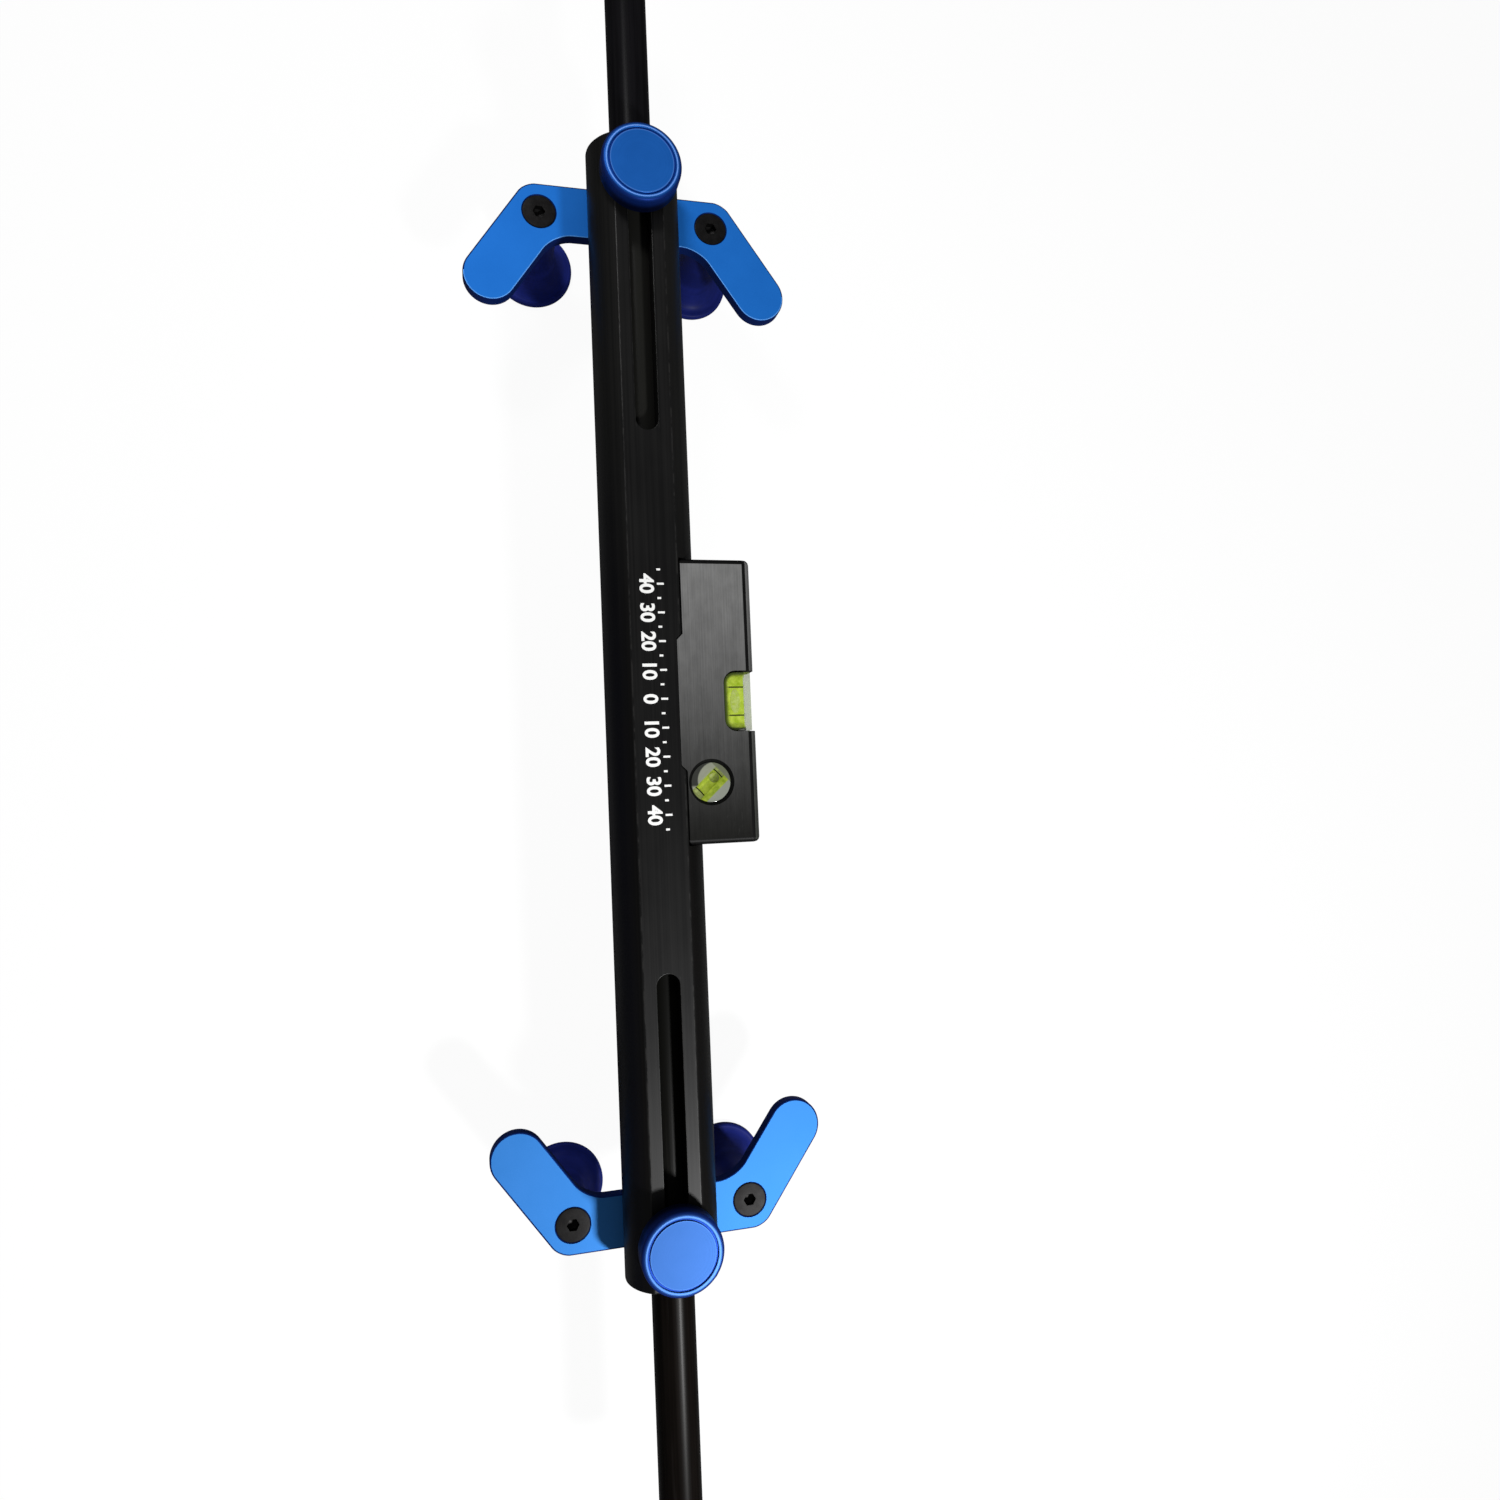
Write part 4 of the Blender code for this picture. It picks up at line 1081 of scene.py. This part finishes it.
def make_brushed(name, painted_shade_end):
    material, place = start_finish(name, {"Metallic": 0.85, "Specular IOR Level": 0.3})
    lines = grain(place, (24, 2600, 2600), detail=4, roughness=0.7)
    long_lines = grain(place, (9, 700, 700))
    clouds = grain(place, (160, 260, 260))
    scratch = grain(place, (110, 3000, 3000)).between(0.64, 0.72)
    # Painted highlight: the grey runs from bright at the left end to dark at the right.
    painted_highlight_fall = place.split()[0].between(level_low_x - 0.02, level_high_x + 0.005)
    brushed = (lines * 0.45 + long_lines * 0.2 + clouds * 0.35).between(0.3, 0.7).blend(*brushed_tones)
    product = place.node(
        "Mix", {"data_type": "RGBA", "blend_type": "MULTIPLY"},
        {0: 1.0, 6: painted_highlight_fall.blend(grey_painted_highlight, painted_shade_end), 7: brushed}, output=2,
    )
    return complete(material, {
        "Base Color": (scratch * 0.12).blend(product, grey_scratch),
        "Roughness": 0.34 + lines * 0.16,
        "Normal": relief(lines * 0.6 + long_lines * 0.4, 0.5, 0.00005),
    })


level_finishes = [
    make_brushed("black_brushed_grey", grey_painted_shade),
    make_grained("black_anodised_satin", {"Specular IOR Level": 0.07}, {(60, 2200, 2200): 0.5, 130: 0.5},
                 level_black_tones, rough=(0.4, 0.14)),
    make_brushed("black_brushed_edge", grey_edge_painted_shade),
]
level_corners = [
    (level_low_x, level_seat, 0), (level_high_x, level_seat, 0), (level_high_x, level_high.y, 0),
    (cut_middle + cut_half, level_high.y, 0), (cut_middle + cut_half, cut_floor, cut_corner),
    (cut_middle - cut_half, cut_floor, cut_corner), (cut_middle - cut_half, level_high.y, 0),
    (level_low_x, level_high.y, 0),
]
level = plate(level_corners, level_low.z, level_high.z, steps=8)
soften(level, level_edge_round, 8, lambda edge: both_ends(
    edge, lambda point: point.y > level_high.y - touch
) and abs(edge.verts[0].co.z - edge.verts[1].co.z) < overrun)
soften(level, level_end_edge, 3, lambda edge: both_ends(
    edge, lambda point: abs(point.x - level_mid_x) > level_half_length - touch
) and length_x(edge) < overrun)
soften(level, level_face_edge, 2, lambda edge: both_ends(
    edge, lambda point: point.y < level_seat + touch
) and length_x(edge) > overrun)
soften(level, cut_edge, 2, lambda edge: both_ends(
    edge, lambda point: abs(point.x - cut_middle) < cut_half + overrun / 2
    and abs(abs(point.z - level_mid_z) - level_half_thickness) < touch
))
lip_corners = flared_corners(lip_low_x, lip_high_x, lip_y, level_seat + lip_root)
lip = plate(lip_corners, level_high.z - lip_thickness, level_high.z)
level = carve(level, lip, operation="UNION")
sunk = window_radius + window_edge + overrun
tools = [turned([
    (0, level_high.z + overrun), (sunk, level_high.z + overrun), (window_radius, level_high.z - window_edge),
    (window_radius, level_low.z + window_edge), (sunk, level_low.z - overrun), (0, level_low.z - overrun),
], upright, (*window_centre, 0), window_steps)]
sink_depth = level_high.y - screw_seat_y + overrun
hole_depth = 2 * (screw_seat_y - level_seat)
for x in tap_places:
    middle = (x, screw_seat_y + sink_depth / 2, level_mid_z)
    tools.append(cylinder(counterbore, sink_depth, counterbore_steps, turn_y, middle))
    tools.append(cylinder(tap_radius, hole_depth, tap_steps, turn_y, (x, level_seat, level_mid_z)))
level = carve(level, *tools)
for face in level.faces:
    centre = face.calc_center_median()
    on_face = abs(face.normal.z) > 0.999 and abs(centre.z - level_mid_z) > level_half_thickness - overrun / 2
    outer_edge = centre.y > level_high.y - level_edge_round * 0.6 and abs(face.normal.x) < 0.5
    face.material_index = 0 if on_face else 2 if outer_edge else 1
add_piece("level_block", level, level_finishes, "bar", "brushed_black", "level_body")
for name in sides:
    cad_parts[f"level_screw_{name}"].data.materials[0] = oxide_finish


# ---- Main vial ----
# The long vial in the block's open cut: a clear moulded acrylic cup filled from behind with lime-green
# liquid, a lid behind it, an air bubble, and two black lines printed across it.

vial_low, vial_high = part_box("main_vial")
vial_corner = 0.004
vial_edge = 0.0003
vial_wall = 0.0008
vial_outer_wall = 0.0022
vial_mid_x = (vial_low.x + vial_high.x) / 2
rim_shade_start, rim_shade_end = 0.0005, 0.0023
clear_start, clear_end = vial_high.y - 0.0024, vial_high.y - 0.0021
liquid_gap = 0.001
liquid_corner = 0.0032
liquid_edge = 0.0002
line_places = (-0.004, 0.006)
line_width = 0.0005
line_depth = 0.00006
line_gap = 0.00025
bubble_size = (0.0086, 0.0036, 0.0005)
bubble_lift = 0.00002
bubble_steps = 40
lime_tones = ((0.27, 0.39, 0.012), (0.54, 0.66, 0.085))
bubble_painted_pale = (0.8, 0.86, 0.42)
olive_painted_shade = (0.035, 0.055, 0.003)
print_tones = ((0.004, 0.004, 0.004), (0.015, 0.016, 0.01))
liquid_painted_glow = 0.32
acrylic_ior = 1.49
liquid_constants = {"Roughness": 0.12, "IOR": 1.36, "Alpha": 0.94, "Specular IOR Level": 0.2}


def start_acrylic(name):
    """Clear acrylic's constants, its place wire, its fine ripple and its see-through share."""
    material, place = start_finish(name, {"Roughness": 0.06, "IOR": acrylic_ior})
    gloss = place.node("Fresnel", None, {"IOR": acrylic_ior})
    return material, place, grain(place, 500), 0.03 + gloss * 0.6


def make_cup_acrylic():
    """Clear in the middle and painted lime; near the walls it turns dark olive, painted shade for the dark
    cut.
    """
    material, place, fine, clear = start_acrylic("clear_acrylic_cup")
    x, y, _ = place.split()
    reach_x = (vial_high.x - vial_low.x) / 2 - vial_corner
    aside = (abs(x - vial_mid_x) - reach_x).maths("MAXIMUM", 0)
    inward = (-(y - (vial_low.y + vial_corner))).maths("MAXIMUM", 0)
    from_edge = vial_corner - aside.distance(inward)
    inside = 1 - y.between(clear_start, clear_end)
    rim = (1 - from_edge.between(rim_shade_start, rim_shade_end)) * inside
    green = fine.between(0.3, 0.7).blend(*lime_tones)
    return complete(material, {
        "Base Color": rim.blend(green, olive_painted_shade),
        "Alpha": (clear + rim * 0.85).clamped(),
        "Roughness": 0.04 + fine * 0.06,
        "Normal": relief(fine, 0.08, 0.00002),
    })


# The liquids glow: painted light for the light they gather.
def make_liquid(name, strength):
    constants = {**liquid_constants, "Emission Strength": strength}
    return make_grained(
        name, constants, {210: 0.75, 700: 0.25}, lime_tones, spread=(0.3, 0.64), bump=(0.15, 0.0002)
    )


def make_bubble():
    """Air behind the acrylic, with its light painted on: pale in its middle, painted dark where its skin
    turns away.
    """
    material, place = start_finish("air_bubble", {"Roughness": 0.1})
    edge = place.node("LayerWeight", None, {"Blend": 0.5}, output=1).between(0.7, 0.95)
    pale = grain(place, 600).between(0.3, 0.7).blend(lime_tones[1], bubble_painted_pale)
    return complete(material, {"Base Color": edge.blend(pale, olive_painted_shade), "Alpha": 0.7 + edge * 0.25})


def bubble_shape(size, place, steps):
    """A flattened ball of this length, width and height."""
    shape = bmesh.new()
    bmesh.ops.create_uvsphere(shape, u_segments=steps, v_segments=steps // 2, radius=0.5)
    bmesh.ops.scale(shape, vec=size, verts=shape.verts)
    bmesh.ops.translate(shape, vec=place, verts=shape.verts)
    return shape


def vial_plate(inset, outer_inset, corner, low_z, high_z):
    """A plate of the vial's outline, drawn in from its walls."""
    low_x, high_x = vial_low.x + inset, vial_high.x - inset
    low_y, high_y = vial_low.y + inset, vial_high.y - outer_inset
    corners = [(low_x, low_y, corner), (high_x, low_y, corner), (high_x, high_y, 0), (low_x, high_y, 0)]
    return plate(corners, low_z, high_z)


cup_finish = make_cup_acrylic()
bubble_finish = make_bubble()
print_finish = make_grained(
    "black_print", {"Roughness": 0.5, "Specular IOR Level": 0.2}, {1800: 1}, print_tones,
    bump=(0.2, 0.00002),
)
cup = soften(vial_plate(0, 0, vial_corner, vial_low.z, vial_high.z), vial_edge, 3)
cup_roof = vial_high.z - vial_wall
hollow = vial_plate(vial_wall, vial_outer_wall, vial_corner - vial_wall, vial_low.z - overrun, cup_roof)
add_piece("main_vial_cup", carve(cup, hollow), cup_finish, "bar", "clear_acrylic", "main_vial")
for node, piece_name, finish, slot in (
    ("main_vial_lid", "main_vial_cover", cup_finish, "clear_acrylic"),
    ("main_vial_liquid", "main_vial_fill", make_liquid("lime_liquid", liquid_painted_glow), "vial_liquid"),
):
    low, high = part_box(node)
    filling = vial_plate(liquid_gap, vial_outer_wall + liquid_gap - vial_wall, liquid_corner, low.z, high.z)
    add_piece(piece_name, soften(filling, liquid_edge), finish, "bar", slot, node)
fill_low, fill_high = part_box("main_vial_liquid")
line_low_y = vial_low.y + vial_wall + line_gap
line_high_y = vial_high.y - vial_outer_wall - line_gap
lines = []
for x in line_places:
    low = (x - line_width / 2, line_low_y, fill_high.z)
    lines.append(block(low, (x + line_width / 2, line_high_y, fill_high.z + line_depth)))
add_piece("main_vial_lines", together(lines), print_finish, "bar", "black_nylon")
bubble_place = (sum(line_places) / 2, (fill_low.y + fill_high.y) / 2, fill_high.z + bubble_lift)
bubble = bubble_shape(bubble_size, bubble_place, bubble_steps)
add_piece("main_vial_bubble", bubble, bubble_finish, "bar", "vial_liquid")


# ---- Window vial ----
# A round clear acrylic block in the window, cross-drilled at a lean. The bore holds lime liquid and a
# bubble between two plugs, with a black ring near each end.

window_angle = math.radians(133)
window_bore = 0.0035
window_bore_steps = 48
window_edge_round = 0.0003
window_liquid_radius = 0.0032
window_liquid_half = 0.0043
window_liquid_edge = 0.0004
plug_centre = 0.0053
plug_half = 0.0007
plug_edge = 0.0002
ring_place = 0.00452
ring_half = 0.00022
ring_outer = window_liquid_radius + 0.00012
ring_inner = window_liquid_radius - 0.0001
ring_edge_round = 0.00003
window_bubble_place = 0.0024
window_bubble_size = (0.0036, 0.0036, 0.00036)
window_bubble_lift = window_liquid_radius * 1.02
window_bubble_steps = 32
window_low, window_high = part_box("window_vial")
window_place = Vector((*window_centre, (window_low.z + window_high.z) / 2))
window_lean = Matrix.Rotation(window_angle, 4, "Z") @ turn_x
disc_radius = (window_high.y - window_low.y) / 2
pale_painted_light_tones = ((0.2, 0.21, 0.16), (0.195, 0.21, 0.175))
glow_tones = ((0.13, 0.19, 0.004), (0.24, 0.3, 0.025))
plug_tones = ((0.3, 0.36, 0.1), (0.5, 0.56, 0.24))
window_dark = (0.008, 0.009, 0.008)
window_shade = (0.012, 0.013, 0.012)
window_painted_glow = 0.5
end_painted_light = (0.1, 0.11, 0.07)
end_start = 0.0048
shade_x, shade_y = -0.0005, 0.0019
shade_radius = 0.0063
shade_end = 0.0008
pale_light_start = 0.0024
glow_start, glow_end = 0.0014, 0.0036
zone_blur = 0.0004
dark_rim = (0.0067, 0.0071)


def make_window_acrylic():
    """Clear over the tube, with painted light and shade: lime beside it, pale further out, a dark crescent on
    one side, grey over the tube's ends, and darker near its rim.
    """
    material, place, fine, clear = start_acrylic("clear_acrylic_block")
    centred = place.node("VectorMath", {"operation": "SUBTRACT"}, {0: place, 1: window_place})
    turned_back = centred.node(
        "VectorRotate", {"rotation_type": "Z_AXIS"}, {"Vector": centred, "Angle": -window_angle}
    )
    along, across, height = turned_back.split()
    outside = across.distance(height).between(window_bore + 0.0001, window_bore + 0.0003)
    x, y, _ = centred.split()
    pale_light_zone = across.between(pale_light_start, pale_light_start + zone_blur)
    beside = pale_light_zone + (-across).between(glow_start, glow_start + zone_blur)
    beyond = pale_light_zone + (-across).between(glow_end, glow_end + zone_blur)
    painted_dark_side = (x - shade_x).distance(y - shade_y).between(shade_radius, shade_radius + 0.0005)
    painted_dark_side = painted_dark_side * (1 - x.between(shade_end, shade_end + 0.001))
    painted_end_zone = along.between(end_start, end_start + zone_blur)
    rim = x.distance(y).between(*dark_rim)
    green = fine.between(0.3, 0.7).blend(*glow_tones)
    pale_light = (x + y).between(-0.004, 0.006).blend(*pale_painted_light_tones)
    colour = painted_end_zone.blend(beyond.blend(green, pale_light), end_painted_light)
    colour = (painted_dark_side * 0.95).blend(colour, window_shade)
    cover = beside * 0.86 - beyond * 0.02 + painted_end_zone * 0.85 + painted_dark_side * 0.4 + rim * 0.3
    return complete(material, {
        "Base Color": (rim * 0.6).blend(colour, window_dark),
        "Alpha": (clear + cover * outside).clamped(),
        "Roughness": 0.05 + fine * 0.08,
        "Normal": relief(fine, 0.08, 0.00002),
    })


# The plugs glow too: painted light where they lie deep in the block.
plug_finish = make_nylon("lime_tinted_plug", plug_tones, 0.35, window_painted_glow)
disc = cylinder(disc_radius, window_high.z - window_low.z, window_steps, upright, window_place)
disc = soften(disc, window_edge_round, 3)
disc = carve(disc, cylinder(window_bore, 3 * disc_radius, window_bore_steps, window_lean, window_place))
add_piece("window_vial_block", disc, make_window_acrylic(), "bar", "clear_acrylic", "window_vial")
fill = cylinder(
    window_liquid_radius, 2 * window_liquid_half, window_bore_steps, window_lean, window_place
)
fill = soften(fill, window_liquid_edge, 3)
window_liquid = make_liquid("lime_liquid_bright", window_painted_glow)
add_piece("window_vial_fill", fill, window_liquid, "bar", "vial_liquid", "window_vial_liquid")
rings = []
for name, side in sides.items():
    middle = window_place + window_lean @ Vector((0, 0, side * plug_centre))
    plug = cylinder(window_liquid_radius, 2 * plug_half, window_bore_steps, window_lean, middle)
    add_piece(f"window_plug_{name}", soften(plug, plug_edge), plug_finish, "bar", "white_nylon",
              f"window_vial_plug_{name}")
    middle = window_place + window_lean @ Vector((0, 0, side * ring_place))
    rings.append(tube(
        ring_outer, ring_inner, -ring_half, ring_half, window_lean, middle, ring_edge_round,
        window_bore_steps,
    ))
add_piece("window_vial_rings", together(rings), print_finish, "bar", "black_nylon")
bubble_place = window_place + window_lean @ Vector((0, 0, window_bubble_place))
bubble_place.z += window_bubble_lift
bubble = bubble_shape(window_bubble_size, bubble_place, window_bubble_steps)
add_piece("window_vial_bubble", bubble, bubble_finish, "bar", "vial_liquid")
